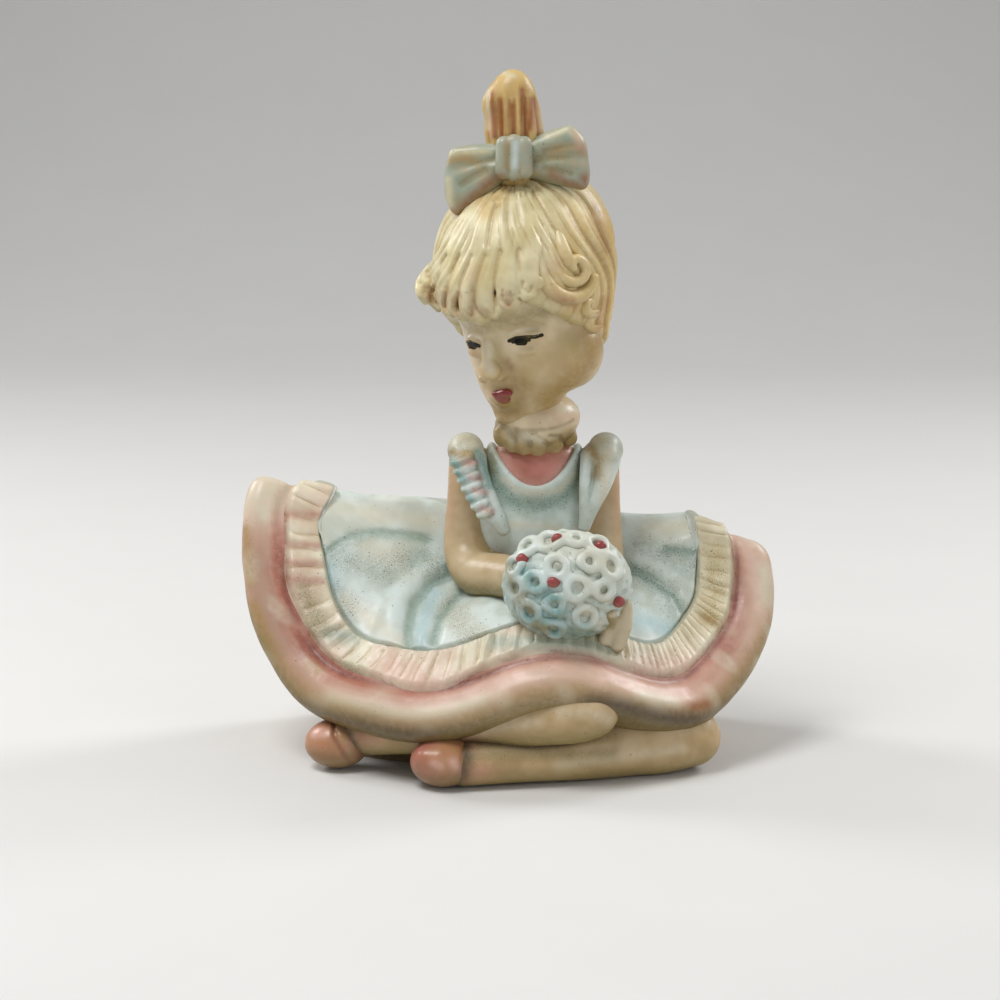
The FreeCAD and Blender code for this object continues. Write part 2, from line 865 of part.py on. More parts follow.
# How far the toe stands out before the ankle
TOE_REACH_SHARE = 0.6


def shoe_form(name, ankle):
    """A rounded shoe around the ankle, its toe to the viewer's left."""
    item = ellipsoid(
        name + "_ball", "[shoe_half_length]", "[shoe_half_width]", "[shoe_half_height]"
    )
    item.Placement.Base = Vector(
        ankle.x - of("shoe_half_length") * TOE_REACH_SHARE,
        ankle.y,
        of("shoe_half_height") + of("ground_gap"),
    )
    return item


def leg_solids():
    """Both bare shins, lying one before the other, and where their ankles are."""
    low = of("ground_gap")
    knee_z = of("knee_radius") + low
    shin = of("shin_length")
    calf = of("shin_radius")
    knee = Vector(of("knee_offset"), -of("leg_setback"), knee_z)
    ankle = Vector(of("knee_offset") - shin, -of("leg_setback") * 1.85, of("ankle_radius") + low)
    middle = (knee + ankle) * 0.5 + Vector(0, -of("shin_radius") * 0.3, 0)
    front_leg = limb(
        [
            (ankle, of("ankle_radius"), of("ankle_radius")),
            (ankle * 0.6 + middle * 0.4, calf * 0.9, calf * 0.9),
            (Vector(middle.x, middle.y, calf + low), calf, calf),
            (knee * 0.7 + middle * 0.3, of("knee_radius") * 0.97, of("knee_radius") * 0.97),
            (knee, of("knee_radius") * 0.9, of("knee_radius") * 0.9),
        ]
    )
    over = of("shin_radius") * 1.85 + of("crossed_knee_radius")
    crossed_knee = Vector(of("crossed_knee_offset"), -of("thigh_reach"), over + low)
    crossed_ankle = Vector(
        of("crossed_knee_offset") - of("crossed_shin_length"),
        -of("leg_setback"),
        of("ankle_radius") * 1.2 + low + of("crossed_knee_radius") * 0.3,
    )
    middle = (crossed_knee + crossed_ankle) * 0.5 + Vector(0, -of("crossed_shin_radius") * 0.4, 0)
    crossed_leg = limb(
        [
            (crossed_ankle, of("ankle_radius"), of("ankle_radius")),
            (middle, of("crossed_shin_radius") * 0.95, of("crossed_shin_radius") * 0.95),
            (crossed_knee * 0.7 + middle * 0.3, of("crossed_knee_radius"), of("crossed_knee_radius")),
            (crossed_knee, of("crossed_knee_radius"), of("crossed_knee_radius")),
        ]
    )
    return front_leg, ankle, crossed_leg, crossed_ankle


# The figure, put together group by group


class Figure:
    """The sub-parts by name, and the whole forms that trim their neighbours."""

    def __init__(self):
        self.skirt = Skirt()
        self.nodes = {}
        self.forms = {}

    def keep(self, name, item):
        item.Label = name
        self.nodes[name] = item
        return item

    def add_skirt(self):
        """The apron and its ruffle. The underskirt waits for the legs."""
        self.forms["dressed"] = feature("dressed_skirt", dressed_solid(self.skirt))
        self.keep("apron", feature("apron", apron_solid(self.skirt)))
        self.keep("apron_ruffle", feature("apron_ruffle", ruffle_solid(self.skirt)))

    def add_legs(self):
        """Both legs, then the shoes around their ankles, then the skirt over them."""
        front_shape, ankle, crossed_shape, crossed_ankle = leg_solids()
        front_leg = self.keep("front_leg", feature("front_leg", front_shape))
        crossed = feature("crossed_limb", crossed_shape)
        self.keep("crossed_leg", cut("crossed_leg", crossed, [front_leg]))
        front_shoe = shoe_form("front_shoe", ankle)
        rear_shoe = shoe_form("rear_shoe", crossed_ankle)
        self.keep("front_shoe", cut("front_shoe", front_shoe, [front_leg, crossed]))
        self.keep("rear_shoe", cut("rear_shoe", rear_shoe, [crossed]))
        body = feature("underskirt_body", underskirt_solid(self.skirt))
        trims = [front_leg, crossed, front_shoe, rear_shoe]
        self.keep("underskirt", cut("underskirt", body, trims))

    def add_torso(self):
        dressed = self.forms["dressed"]
        torso = self.forms["torso"] = torso_form("torso", "")
        bib = self.forms["bib"] = torso_form("bib_form", " + [bib_layer]")
        self.keep("blouse", cut("blouse", torso, [dressed]))
        self.keep("apron_bib", cut("apron_bib", bib, [torso, scoop_form(), dressed]))

    def add_head(self):
        """The face with its small round nose, and the lips laid on it."""
        nose_place = in_head(0, -of("skull_half_depth") * NOSE_REACH_SHARE, -of("nose_drop"))
        nose = feature("nose", Part.makeSphere(of("nose_radius"), nose_place))
        head = self.keep("head", fuse("head", [feature("face_and_skull", head_solid(0, 0)), nose]))
        self.forms["head"] = head
        self.keep("lips", cut("lips", feature("lip_form", lip_solid()), [head]))

    def add_neck(self):
        shape = neck_solid()
        self.forms["neck"] = feature("neck_tool", shape)
        head = self.forms["head"]
        self.keep("neck", cut("neck", feature("neck_body", shape), [self.forms["torso"], head]))
        ruff = self.forms["ruff"] = ruff_form()
        self.keep("neck_ruff", cut("neck_ruff", ruff, [self.forms["neck"], head, self.forms["bib"]]))

    def add_arm(self, name, side, shares):
        """One arm with its hand and the frill over its shoulder."""
        bib = self.forms["bib"]
        dressed = self.forms["dressed"]
        arm_shape, elbow, wrist = arm_solid(side, *shares)
        arm = self.forms[name + "_arm"] = feature(name + "_arm_limb", arm_shape)
        self.keep(name + "_arm", cut(name + "_arm", arm, [bib, dressed]))
        turn = Vector(-side * HAND_INWARD_SHARE, -HAND_FORWARD_SHARE, 0)
        hand = feature(name + "_hand_limb", hand_solid(elbow, wrist, turn))
        self.forms[name + "_hand"] = hand
        self.keep(name + "_hand", cut(name + "_hand", hand, [arm, dressed]))
        inset = of("arm_spread") * FRILL_INSET_SHARES[side]
        frill = feature(name + "_flounce_frill", flounce_solid(side, inset))
        self.keep(name + "_flounce", cut(name + "_flounce", frill, [bib, arm]))

    def add_nosegay(self):
        """The round nosegay in the hands, with its flowers and buds."""
        dressed = self.forms["dressed"]
        arms = [self.forms["left_arm"], self.forms["right_arm"]]
        hands = [self.forms["left_hand"], self.forms["right_hand"]]
        ball = nosegay_form()
        self.keep("nosegay", cut("nosegay", ball, arms + hands + [self.forms["bib"], dressed]))
        buds = feature("bud_balls", bud_solids())
        self.keep("red_buds", cut("red_buds", buds, [ball] + arms + hands))
        rings = feature("rosette_rings", rosette_solids())
        self.keep("rosettes", cut("rosettes", rings, [ball, buds] + hands + [dressed]))

    def add_hair(self):
        """The hair around the head, the fringe over it and the curls at the side."""
        shell = feature("hair_form", head_solid(of("hair_layer"), of("hair_back")))
        self.forms["hair"] = shell
        trims = [feature("face_opening", face_opening())]
        trims += [self.forms[name] for name in ("head", "neck", "ruff")]
        self.keep("hair_cap", cut("hair_cap", shell, trims))
        locks = [
            feature(f"lock_{k}", lock_solid(*row)) for k, row in enumerate(LOCK_ANGLES, start=1)
        ]
        fringe = self.forms["fringe"] = fuse("lock_group", locks)
        self.keep("fringe_locks", cut("fringe_locks", fringe, [shell]))
        curls = [
            feature(f"curl_{k}", curl_solid(*row)) for k, row in enumerate(CURL_ANGLES, start=1)
        ]
        self.keep("side_curls", cut("side_curls", fuse("curl_group", curls), [shell, fringe]))

    def add_bow(self):
        """The ponytail behind the knot, and the bow's two loops."""
        shell = self.forms["hair"]
        root = ponytail_root()
        knot = knot_form(root)
        tuft = feature("ponytail_tuft", ponytail_solid(root))
        self.keep("bow_knot", cut("bow_knot", knot, [shell]))
        self.keep("ponytail", cut("ponytail", tuft, [shell, knot]))
        trims = [shell, knot, tuft, self.forms["fringe"]]
        for name, side, droop_share, size_share in BOW_SHARES:
            loop = feature(name + "_form", loop_solid(root, side, droop_share, size_share))
            self.keep(name, cut(name, loop, trims))


def check(nodes):
    """Raise an error unless every object and every sub-part is sound."""
    for item in doc.Objects:
        if "Invalid" in item.State or "Error" in item.State:
            raise RuntimeError(f"{item.Name} did not compute: {item.State}")
    for name, item in nodes.items():
        if item.Shape.isNull() or not item.Shape.Solids:
            raise RuntimeError(f"{name} has no solid")
        if not item.Shape.isValid():
            raise RuntimeError(f"{name} is not a valid shape")


def build():
    figure = Figure()
    figure.add_skirt()
    figure.add_legs()
    figure.add_torso()
    figure.add_head()
    figure.add_neck()
    for name, side, shares in ARM_SHARES:
        figure.add_arm(name, side, shares)
    figure.add_nosegay()
    figure.add_hair()
    figure.add_bow()
    doc.recompute()
    check(figure.nodes)
    os.makedirs("parts", exist_ok=True)
    for name, item in figure.nodes.items():
        item.Shape.exportStep(f"parts/{name}.step")


build()
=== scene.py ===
"""A seated girl in painted, satin-varnished plaster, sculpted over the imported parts."""

import math

import bpy
import numpy as np
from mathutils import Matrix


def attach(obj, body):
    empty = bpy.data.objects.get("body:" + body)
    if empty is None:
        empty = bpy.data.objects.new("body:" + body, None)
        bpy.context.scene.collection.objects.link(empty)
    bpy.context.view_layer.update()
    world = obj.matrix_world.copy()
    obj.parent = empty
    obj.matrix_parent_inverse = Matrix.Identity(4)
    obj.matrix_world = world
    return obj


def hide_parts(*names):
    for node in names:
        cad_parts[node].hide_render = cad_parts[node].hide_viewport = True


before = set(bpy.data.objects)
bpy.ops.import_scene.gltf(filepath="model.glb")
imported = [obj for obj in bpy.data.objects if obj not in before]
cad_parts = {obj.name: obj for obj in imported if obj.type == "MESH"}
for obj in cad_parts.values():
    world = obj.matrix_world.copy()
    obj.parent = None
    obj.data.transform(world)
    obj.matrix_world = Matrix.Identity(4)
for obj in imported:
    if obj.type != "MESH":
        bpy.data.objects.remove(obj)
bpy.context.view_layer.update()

import openvdb

bl_info = {
    "name": "Seated plaster girl",
    "version": (1, 0, 0),
    "blender": (4, 5, 0),
    "location": "3D View > Sidebar > Plaster girl",
    "description": "Sculpts and paints a seated plaster girl with a nosegay",
    "category": "Object",
}

MM = 0.001


def linear(code):
    """A colour written as a web code, in the linear values that shaders take."""
    parts = [int(code[k : k + 2], 16) / 255 for k in (1, 3, 5)]
    return tuple(p / 12.92 if p <= 0.04045 else ((p + 0.055) / 1.055) ** 2.4 for p in parts)


def shade(name, code, use):
    return bpy.props.FloatVectorProperty(
        name=name, description=use, subtype="COLOR", size=3, min=0, max=1, default=linear(code)
    )


def size(name, millimetres, use):
    return bpy.props.FloatProperty(
        name=name, description=use, default=millimetres * MM, unit="LENGTH"
    )


class PlasterColours(bpy.types.PropertyGroup):
    ivory: shade("Ivory", "#dccbaa", "Face, hands and arms")
    blush: shade("Blush", "#cf9780", "Cheeks, elbows and arm edges")
    ochre: shade("Ochre", "#a8874d", "Shade wash on skin and hair")
    # Umber is painted shade in the deep creases under the hem, between the legs and on undersides
    umber: shade("Umber", "#4d3b24", "Deep creases under the hem and between the legs")
    tan: shade("Tan", "#b89c70", "Bare legs")
    rose: shade("Rose", "#bb7568", "Shoes and blouse")
    red: shade("Red", "#820f1b", "Lips and buds")
    ink: shade("Ink", "#0a0c0c", "Painted eyes")
    # On the wings' upper edges and the hem roll, cream is a painted highlight
    cream: shade("Cream", "#ddd5bd", "Ruffle and the wings' upper edges")
    flax: shade("Flax", "#d9d0ab", "Hair")
    straw: shade("Straw", "#cdb878", "Hair between the strands")
    gold: shade("Gold", "#d3ad62", "Hair at the side and the back")
    # In the ponytail's grooves, between the fringe's tips and along the bow's lower edges, amber is
    # painted shade
    amber: shade("Amber", "#935521", "Grooves of the ponytail and the bow's edges")
    biscuit: shade("Biscuit", "#b9a684", "Base tone of the arms")
    ice: shade("Ice", "#cfdad6", "Apron")
    # On the nosegay's lower left, sky is painted shade
    sky: shade("Sky", "#a6c6cb", "Folds of the apron and flowers")
    sage: shade("Sage", "#8da396", "Bib, bow and nosegay shade")
    # On the nosegay's lower part, teal is painted shade
    teal: shade("Teal", "#5f9390", "Deepest blue-green of flowers and frill")
    pink: shade("Pink", "#d8ab9c", "Border and ruffle")
    salmon: shade("Salmon", "#ac6852", "Border in its shade")
    # In the crease between border and ruffle, brick is painted shade
    brick: shade("Brick", "#7c3a2b", "Crease between border and ruffle")
    # Olive is painted shade on undersides, in hollows and on the face
    olive: shade("Olive", "#8a7a45", "Underside of the hem and shade of the face")
    soot: shade("Soot", "#3c403a", "Specks in the shaded folds")


class PlasterSizes(bpy.types.PropertyGroup):
    pleat: size("Pleat height", 0.9, "How far the ruffle's pleats stand up")
    ruffle: size("Ruffle thickness", 1.7, "How far the ruffle stands over the border")
    apron: size("Apron thickness", 1.1, "How far the apron stands over the skirt")
    hem: size("Hem roll", 0.7, "How far the rolled hem swells")
    strand: size("Strand groove", 0.55, "Depth of the grooves in the hair")
    rosette: size("Rosette radius", 3.05, "Middle radius of a ring-shaped flower")
    petal: size("Petal radius", 1.55, "Thickness of a ring-shaped flower")
    voxel: size("Voxel", 0.42, "Size of the sculpting grid")


# Numbers and curves


def eased_step(values, low, high):
    """0 below low, 1 above high, and a soft ramp between them."""
    share = np.clip((values - low) / (high - low), 0, 1)
    return share * share * (3 - 2 * share)


def smooth_min(a, b, blend):
    if blend <= 0:
        return np.minimum(a, b)
    near = np.maximum(blend - np.abs(a - b), 0) / blend
    return np.minimum(a, b) - near * near * blend * 0.25


def smooth_max(a, b, blend):
    return -smooth_min(-a, -b, blend)


def turned(yaw, pitch=0.0, roll=0.0):
    """A turn about X by roll, then Y by pitch, then Z by yaw, in degrees."""
    a, b, c = np.radians([roll, pitch, yaw])
    about_x = np.array([[1, 0, 0], [0, np.cos(a), -np.sin(a)], [0, np.sin(a), np.cos(a)]])
    about_y = np.array([[np.cos(b), 0, np.sin(b)], [0, 1, 0], [-np.sin(b), 0, np.cos(b)]])
    about_z = np.array([[np.cos(c), -np.sin(c), 0], [np.sin(c), np.cos(c), 0], [0, 0, 1]])
    return about_z @ about_y @ about_x


def closed_curve(points, per_span):
    """A closed smooth curve through the points, sampled evenly in each span."""
    points = np.asarray(points, float)
    n = len(points)
    matrix = 4 * np.eye(n) + np.roll(np.eye(n), 1, 1) + np.roll(np.eye(n), -1, 1)
    bend = np.roll(points, -1, 0) - 2 * points + np.roll(points, 1, 0)
    second = np.linalg.solve(matrix, 6 * bend)
    return spline_rows(
        points, np.roll(points, -1, 0), second, np.roll(second, -1, 0), np.ones(n), per_span
    )


def spline_rows(start, end, start_bend, end_bend, spans, per_span):
    t = (np.arange(per_span) / per_span).reshape(1, -1, *[1] * (start.ndim - 1))
    s = 1 - t
    spans = np.asarray(spans).reshape(-1, *[1] * start.ndim)
    rows = s * start[:, None] + t * end[:, None]
    rows = rows + ((s**3 - s) * start_bend[:, None] + (t**3 - t) * end_bend[:, None]) * spans**2 / 6
    return rows.reshape(-1, *start.shape[1:])


def open_curve(points, per_span):
    """A smooth curve through points or rings, spaced by their mean distance."""
    points = np.asarray(points, float)
    n = len(points)
    steps = np.linalg.norm(np.diff(points, axis=0), axis=-1)
    spans = steps.reshape(n - 1, -1).mean(1)
    matrix = np.eye(n)
    right = np.zeros_like(points)
    for k in range(1, n - 1):
        matrix[k, k - 1 : k + 2] = spans[k - 1], 2 * (spans[k - 1] + spans[k]), spans[k]
        ahead = (points[k + 1] - points[k]) / spans[k]
        right[k] = 6 * (ahead - (points[k] - points[k - 1]) / spans[k - 1])
    second = np.linalg.solve(matrix, right.reshape(n, -1)).reshape(points.shape)
    rows = spline_rows(points[:-1], points[1:], second[:-1], second[1:], spans, per_span)
    return np.concatenate([rows, points[-1:]])


def line_distance(points, path):
    """How far each point is from a path of straight runs."""
    path = np.asarray(path, float)
    nearest = np.full(points.shape[:-1], 1e9)
    for a, b in zip(path, path[1:]):
        run = b - a
        share = np.clip(((points - a) @ run) / (run @ run), 0, 1)
        nearest = np.minimum(nearest, np.linalg.norm(points - a - share[..., None] * run, axis=-1))
    return nearest


def stroke(points, path, width):
    """A soft brush stroke along a path: 1 on it, fading over the width."""
    return np.exp(-((line_distance(points, path) / width) ** 2))


def strokes(points, paths, width):
    return np.max([stroke(points, path, width) for path in paths], axis=0)


def ripple(points, reach, seed):
    """A soft uneven pattern between -1 and 1, of about the given reach."""
    dice = np.random.default_rng(seed)
    total = np.zeros(points.shape[:-1])
    for _ in range(7):
        way = dice.normal(size=3)
        way *= dice.uniform(0.7, 1.5) * np.pi / reach / np.linalg.norm(way)
        total += np.sin(points @ way + dice.uniform(0, 2 * np.pi))
    return total / 4


# The photograph's camera, so that marks go where the photograph shows them

CAMERA_PLACE = np.array([-3.0, -880.3, 274.1])
CAMERA_TILT = 12.0
LENS = 95.8
SENSOR = 36.0
PHOTO_WIDTH = 1000
PIXELS_PER_MM = 2.96
VIEW_WAY = np.array([0, math.cos(math.radians(CAMERA_TILT)), -math.sin(math.radians(CAMERA_TILT))])
VIEW_UP = np.array([0, -VIEW_WAY[2], VIEW_WAY[1]])
# The stretch of a sight line that is searched, how near counts as met, and the least step
SIGHT_START = 780.0
SIGHT_END = 980.0
SIGHT_TOUCH = 0.05
SIGHT_STEP = 0.1


def seen(points):
    """Where the camera sees points given in millimetres, in the photograph's pixels."""
    offset = points - CAMERA_PLACE
    scale = PHOTO_WIDTH * LENS / SENSOR / (offset @ VIEW_WAY)
    half = PHOTO_WIDTH / 2
    return np.stack([half + offset[..., 0] * scale, half - (offset @ VIEW_UP) * scale], -1)


def sight_way(pixel):
    """The way from the camera through a pixel."""
    scale = SENSOR / LENS / PHOTO_WIDTH
    across = (pixel[0] - PHOTO_WIDTH / 2) * scale
    up = (PHOTO_WIDTH / 2 - pixel[1]) * scale
    return VIEW_WAY + VIEW_UP * up + np.array([across, 0, 0])


def struck(form, pixel, lift=0.0):
    """The point where the sight line through a pixel meets a form, lifted towards the camera."""
    way = sight_way(pixel)
    way = way / np.linalg.norm(way)
    reach = SIGHT_START
    closest = (math.inf, reach)
    while reach < SIGHT_END:
        gap = float(form.distance(*(CAMERA_PLACE + way * reach)))
        closest = min(closest, (gap, reach))
        if gap < SIGHT_TOUCH:
            break
        reach += max(SIGHT_STEP, gap * 0.6)
    return CAMERA_PLACE + way * (closest[1] - lift)


def upright(pixels, depth):
    """Points where the camera sees the pixels, on an upright plane at the given depth."""
    ways = np.array([sight_way(pixel) for pixel in pixels])
    return CAMERA_PLACE + ways * ((depth - CAMERA_PLACE[1]) / ways[:, 1:2])


def facing(normals):
    """1 on surface that faces the camera, 0 on what faces away."""
    return eased_step(-(normals @ VIEW_WAY), 0.02, 0.22)


def drawn(lines):
    """Grooves along lines of pixels, cut wherever a sight line meets clay."""

    def change(x, y, z):
        places = seen(np.stack(np.broadcast_arrays(x, y, z), axis=-1))
        cuts = [stroke(places, pixels, width) * depth for pixels, width, depth in lines]
        return np.sum(cuts, axis=0).astype(np.float32)

    return change


def brushed(points, normals, paths, width):
    """Soft strokes along paths of pixels, on surface that faces the camera."""
    return strokes(seen(points), paths, width) * facing(normals)


def pixel_masks(points, normals, table):
    """A mask for each row of a table of painted marks."""
    return {name: brushed(points, normals, paths, width) for name, (paths, width) in table.items()}


# Clay: forms as signed distances, pressed together on a grid


def local_axes(place, centre, turn):
    """Where places lie along a turn's three axes, from its centre."""
    offset = [here - middle for here, middle in zip(place, centre)]
    return [sum(turn[i, k] * offset[i] for i in range(3)) for k in range(3)]


class Form:
    """A rounded form: its signed distance and the box that it lies in."""

    def __init__(self, distance, low, high):
        self.distance = distance
        self.low = np.asarray(low, float)
        self.high = np.asarray(high, float)


def ball(centre, radii, turn=None):
    """An ellipsoid, or a sphere where one radius is given."""
    centre = np.asarray(centre, float)
    radii = np.ones(3) * radii
    turn = np.eye(3) if turn is None else turn

    def distance(x, y, z):
        near = 0
        steep = 0
        for across, radius in zip(local_axes((x, y, z), centre, turn), radii):
            share = across / radius
            near = near + share**2
            steep = steep + (share / radius) ** 2
        near = np.sqrt(near)
        return near * (near - 1) / np.maximum(np.sqrt(steep), 1e-6)

    reach = np.sqrt(((turn * radii) ** 2).sum(1))
    return Form(distance, centre - reach, centre + reach)


# How much a flattened strand is thinned
FLAT_GAIN = 1.6


def strand(path, radii, per_span=5, flat=(0, 0, 0)):
    """A tapering tube along a smooth path. The flat vector thins it that way."""
    line = open_curve(path, per_span)
    girth = np.interp(np.linspace(0, 1, len(line)), np.linspace(0, 1, len(radii)), radii)

    def distance(x, y, z):
        nearest = None
        for a, b, ra, rb in zip(line, line[1:], girth, girth[1:]):
            run = b - a
            offset = (x - a[0], y - a[1], z - a[2])
            share = np.clip(sum(offset[k] * run[k] for k in range(3)) / (run @ run), 0, 1)
            rest = [offset[k] - share * run[k] for k in range(3)]
            squash = sum(rest[k] * flat[k] for k in range(3))
            away = np.sqrt(sum(r**2 for r in rest) + squash**2 * FLAT_GAIN)
            gap = away - (ra + (rb - ra) * share)
            nearest = gap if nearest is None else np.minimum(nearest, gap)
        return nearest

    most = max(radii)
    return Form(distance, line.min(0) - most, line.max(0) + most)


def ring_form(centre, out, radius, girth, petals):
    """A ring that lies square to the way out, swelling a little at each petal."""
    centre = np.asarray(centre, float)
    out = np.asarray(out, float) / np.linalg.norm(out)
    level = np.cross(out, (0, 0, 1.0))
    level = level / np.linalg.norm(level)
    steep = np.cross(out, level)

    def distance(x, y, z):
        offset = (x - centre[0], y - centre[1], z - centre[2])
        up = sum(offset[k] * out[k] for k in range(3))
        round_it = np.sqrt(np.maximum(sum(o**2 for o in offset) - up**2, 0))
        bearing = np.arctan2(
            sum(offset[k] * steep[k] for k in range(3)), sum(offset[k] * level[k] for k in range(3))
        )
        swell = 1 + 0.07 * np.sin(bearing * petals + radius * 3)
        return np.sqrt((round_it - radius * swell) ** 2 + up**2) - girth * swell

    reach = (radius + girth) * 1.15
    return Form(distance, centre - reach, centre + reach)


class Clay:
    """A block of voxels that forms are pressed on and carved from, in millimetres.

    FAR is the largest distance kept, MARGIN the room left round a form, and LET_IN how far a
    welded form goes under its neighbour's skin. FINE and BROAD are the reaches of its hollows.
    """

    FAR = 4.0
    MARGIN = 1.5
    LET_IN = 0.25
    FINE = 1.1
    GROOVE_DEPTH = 0.10
    BROAD = 3.2
    QUICK_COARSENESS = 1.9

    def __init__(self, low, high, step):
        self.low = np.asarray(low, float)
        self.step = step * 1
        self.count = np.ceil((np.asarray(high) - self.low) / self.step).astype(int) + 1
        self.axes = [self.low[k] + self.step * np.arange(self.count[k]) for k in range(3)]
        self.field = np.full(self.count, self.FAR, np.float32)

    def window(self, low, high, margin):
        first = np.floor((low - margin - self.low) / self.step).astype(int)
        last = np.ceil((high + margin - self.low) / self.step).astype(int) + 1
        ends = zip(np.clip(first, 0, self.count), np.clip(last, 0, self.count))
        part = tuple(slice(a, b) for a, b in ends)
        x, y, z = [self.axes[k][part[k]].astype(np.float32) for k in range(3)]
        return part, (x[:, None, None], y[None, :, None], z[None, None, :])

    def add(self, form, blend=0.0):
        part, place = self.window(form.low, form.high, blend + self.MARGIN)
        self.field[part] = smooth_min(self.field[part], form.distance(*place), blend)
        return self

    def cut(self, form, blend=0.0):
        part, place = self.window(form.low, form.high, blend + self.MARGIN)
        self.field[part] = smooth_max(self.field[part], -form.distance(*place), blend)
        return self

    def weld(self, form, blend, reach):
        """Fill the corner towards a neighbour, and end just under its skin."""
        grown = self.field - reach
        part, place = self.window(form.low, form.high, blend + self.MARGIN)
        joined = self.field.copy()
        joined[part] = smooth_min(joined[part], form.distance(*place) + self.LET_IN, blend)
        self.field = np.maximum(joined, grown).astype(np.float32)

    def press(self, change, low, high):
        """Add a depth in millimetres, worked out from where each voxel is."""
        part, place = self.window(np.asarray(low, float), np.asarray(high, float), 0)
        self.field[part] += change(*place)

    def engrave(self, path, width, depth):
        path = np.asarray(path, float)
        part, place = self.window(path.min(0), path.max(0), width * 2.5)
        grid = np.stack(np.broadcast_arrays(*place), axis=-1)
        self.field[part] += (stroke(grid, path, width) * depth).astype(np.float32)

    def score(self, form, pixels, width, depth):
        """Engrave a line where a form shows it in the photograph. A negative depth raises it."""
        self.engrave([struck(form, pixel) for pixel in pixels], width, depth)

    def around(self, reach):
        """The mean signed distance in a box of the given reach around each voxel."""
        half = max(1, int(round(reach / self.step)))
        mean = np.clip(self.field, -self.FAR, self.FAR).astype(np.float64)
        for axis in range(3):
            total = np.cumsum(mean, axis=axis)
            high = np.minimum(np.arange(total.shape[axis]) + half, total.shape[axis] - 1)
            low = np.maximum(np.arange(total.shape[axis]) - half - 1, 0)
            mean = np.take(total, high, axis) - np.take(total, low, axis)
            mean = mean / (2 * half + 1)
        return mean

    def depths(self, points, broad):
        """Masks for fine grooves and broad hollows, which take painted shade, and for high spots,
        lightened as wear and as painted highlight.
        """
        small = self.at(points, self.around(self.FINE))
        large = self.at(points, self.around(self.BROAD))
        return {
            "groove": eased_step(-small, 0.0, self.GROOVE_DEPTH),
            "hollow": eased_step(-large, 0.0, broad),
            "high": eased_step(large, 0.35, 0.9),
        }

    def skin(self):
        """The clay's surface as points in millimetres and four-sided faces."""
        edge = self.field.copy()
        for k in range(3):
            ends = [slice(None)] * 3
            for end in (0, -1):
                ends[k] = end
                edge[tuple(ends)] = self.FAR
        grid = openvdb.FloatGrid(self.FAR)
        grid.copyFromArray(np.clip(edge, -self.FAR, self.FAR).astype(np.float32))
        points, _, quads = grid.convertToPolygons(isovalue=0.0, adaptivity=0.0)
        return biggest(self.low + points.astype(float) * self.step, quads.astype(np.int64))

    def finished(self, marks, broad=0.35):
        """The skin's points, faces and normals, and its masks with the marks of a table."""
        points, faces = self.skin()
        normals = normals_of(points, faces)
        masks = self.depths(points, broad)
        masks.update(pixel_masks(points, normals, marks))
        return points, faces, normals, masks

    def at(self, points, field):
        """A field's value at points, read from the grid."""
        place = (points - self.low) / self.step
        inside = np.all((place >= 0) & (place < self.count - 1), axis=1)
        found = np.full(len(points), self.FAR)
        base = np.floor(place[inside]).astype(int)
        rest = place[inside] - base
        value = 0
        for corner in np.ndindex(2, 2, 2):
            share = np.prod(np.where(np.array(corner), rest, 1 - rest), axis=1)
            value = value + share * field[tuple((base + corner).T)]
        found[inside] = value
        return found


def biggest(points, faces, least_share=0.02):
    """Leave out crumbs: parts of the surface with only a few of its points."""
    label = np.arange(len(points))
    while True:
        low = label[faces].min(1)
        new = label.copy()
        np.minimum.at(new, faces.ravel(), np.repeat(low, faces.shape[1]))
        new = new[new]
        if np.array_equal(new, label):
            break
        label = new
    names, sizes = np.unique(label, return_counts=True)
    kept = np.isin(label, names[sizes >= least_share * sizes.max()])
    faces = faces[kept[faces[:, 0]]]
    index = np.cumsum(kept) - 1
    return points[kept], index[faces]


# Surfaces: normals, hollows and the finished piece


def normals_of(points, faces):
    a, b, c, d = (points[faces[:, k]] for k in (0, 1, 2, -1))
    flat = np.cross(c - a, d - b)
    corners = faces.ravel()
    each = np.repeat(flat, faces.shape[1], axis=0)
    total = np.stack([np.bincount(corners, each[:, k], len(points)) for k in range(3)], axis=1)
    return total / np.maximum(np.linalg.norm(total, axis=1, keepdims=True), 1e-12)


def spread(values, faces, rounds):
    """Values averaged with their neighbours, round after round."""
    start = faces.ravel()
    end = np.roll(faces, -1, axis=1).ravel()
    count = np.bincount(start, minlength=len(values))
    for _ in range(rounds):
        sums = [np.bincount(start, column, len(values)) for column in values[end].T]
        values = values * 0.5 + np.stack(sums, 1) / np.maximum(count, 1)[:, None] * 0.5
    return values


MOST_ROUNDS = 90


def hollows(points, faces, reach):
    """How deep each point lies in a hollow of about the given reach, in millimetres."""
    step = np.median(np.linalg.norm(points[faces[:, 0]] - points[faces[:, 1]], axis=1))
    rounds = int(np.clip((reach / step) ** 2, 2, MOST_ROUNDS))
    moved = spread(points, faces, rounds) - points
    return (moved * normals_of(points, faces)).sum(1)


# Edges that bend more than this many degrees stay sharp
CREASE = 50


def make_piece(name, nodes, points, faces, masks, material):
    """A Blender object with its painting masks, in place of CAD nodes."""
    points = points.copy()
    points[:, 2] = np.maximum(points[:, 2], 0)
    mesh = bpy.data.meshes.new(name)
    mesh.from_pydata(points * MM, [], faces.tolist())
    mesh.shade_smooth()
    mesh.set_sharp_from_angle(angle=math.radians(CREASE))
    # The low mask marks surfaces that face down, for olive painted shade
    masks.setdefault("low", eased_step(-normals_of(points, faces)[:, 2], 0.05, 0.85))
    for mask_name, values in masks.items():
        layer = mesh.attributes.new(mask_name, "FLOAT", "POINT")
        layer.data.foreach_set("value", np.clip(values, 0, 1).astype(np.float32))
    mesh.materials.append(material)
    piece = bpy.data.objects.new(name, mesh)
    bpy.context.scene.collection.objects.link(piece)
    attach(piece, "root")
    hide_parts(*nodes)
    return piece


# How far fine grooves and broad hollows reach on the skirt's pieces
FINE_REACH = 1.6
BROAD_REACH = 5.0


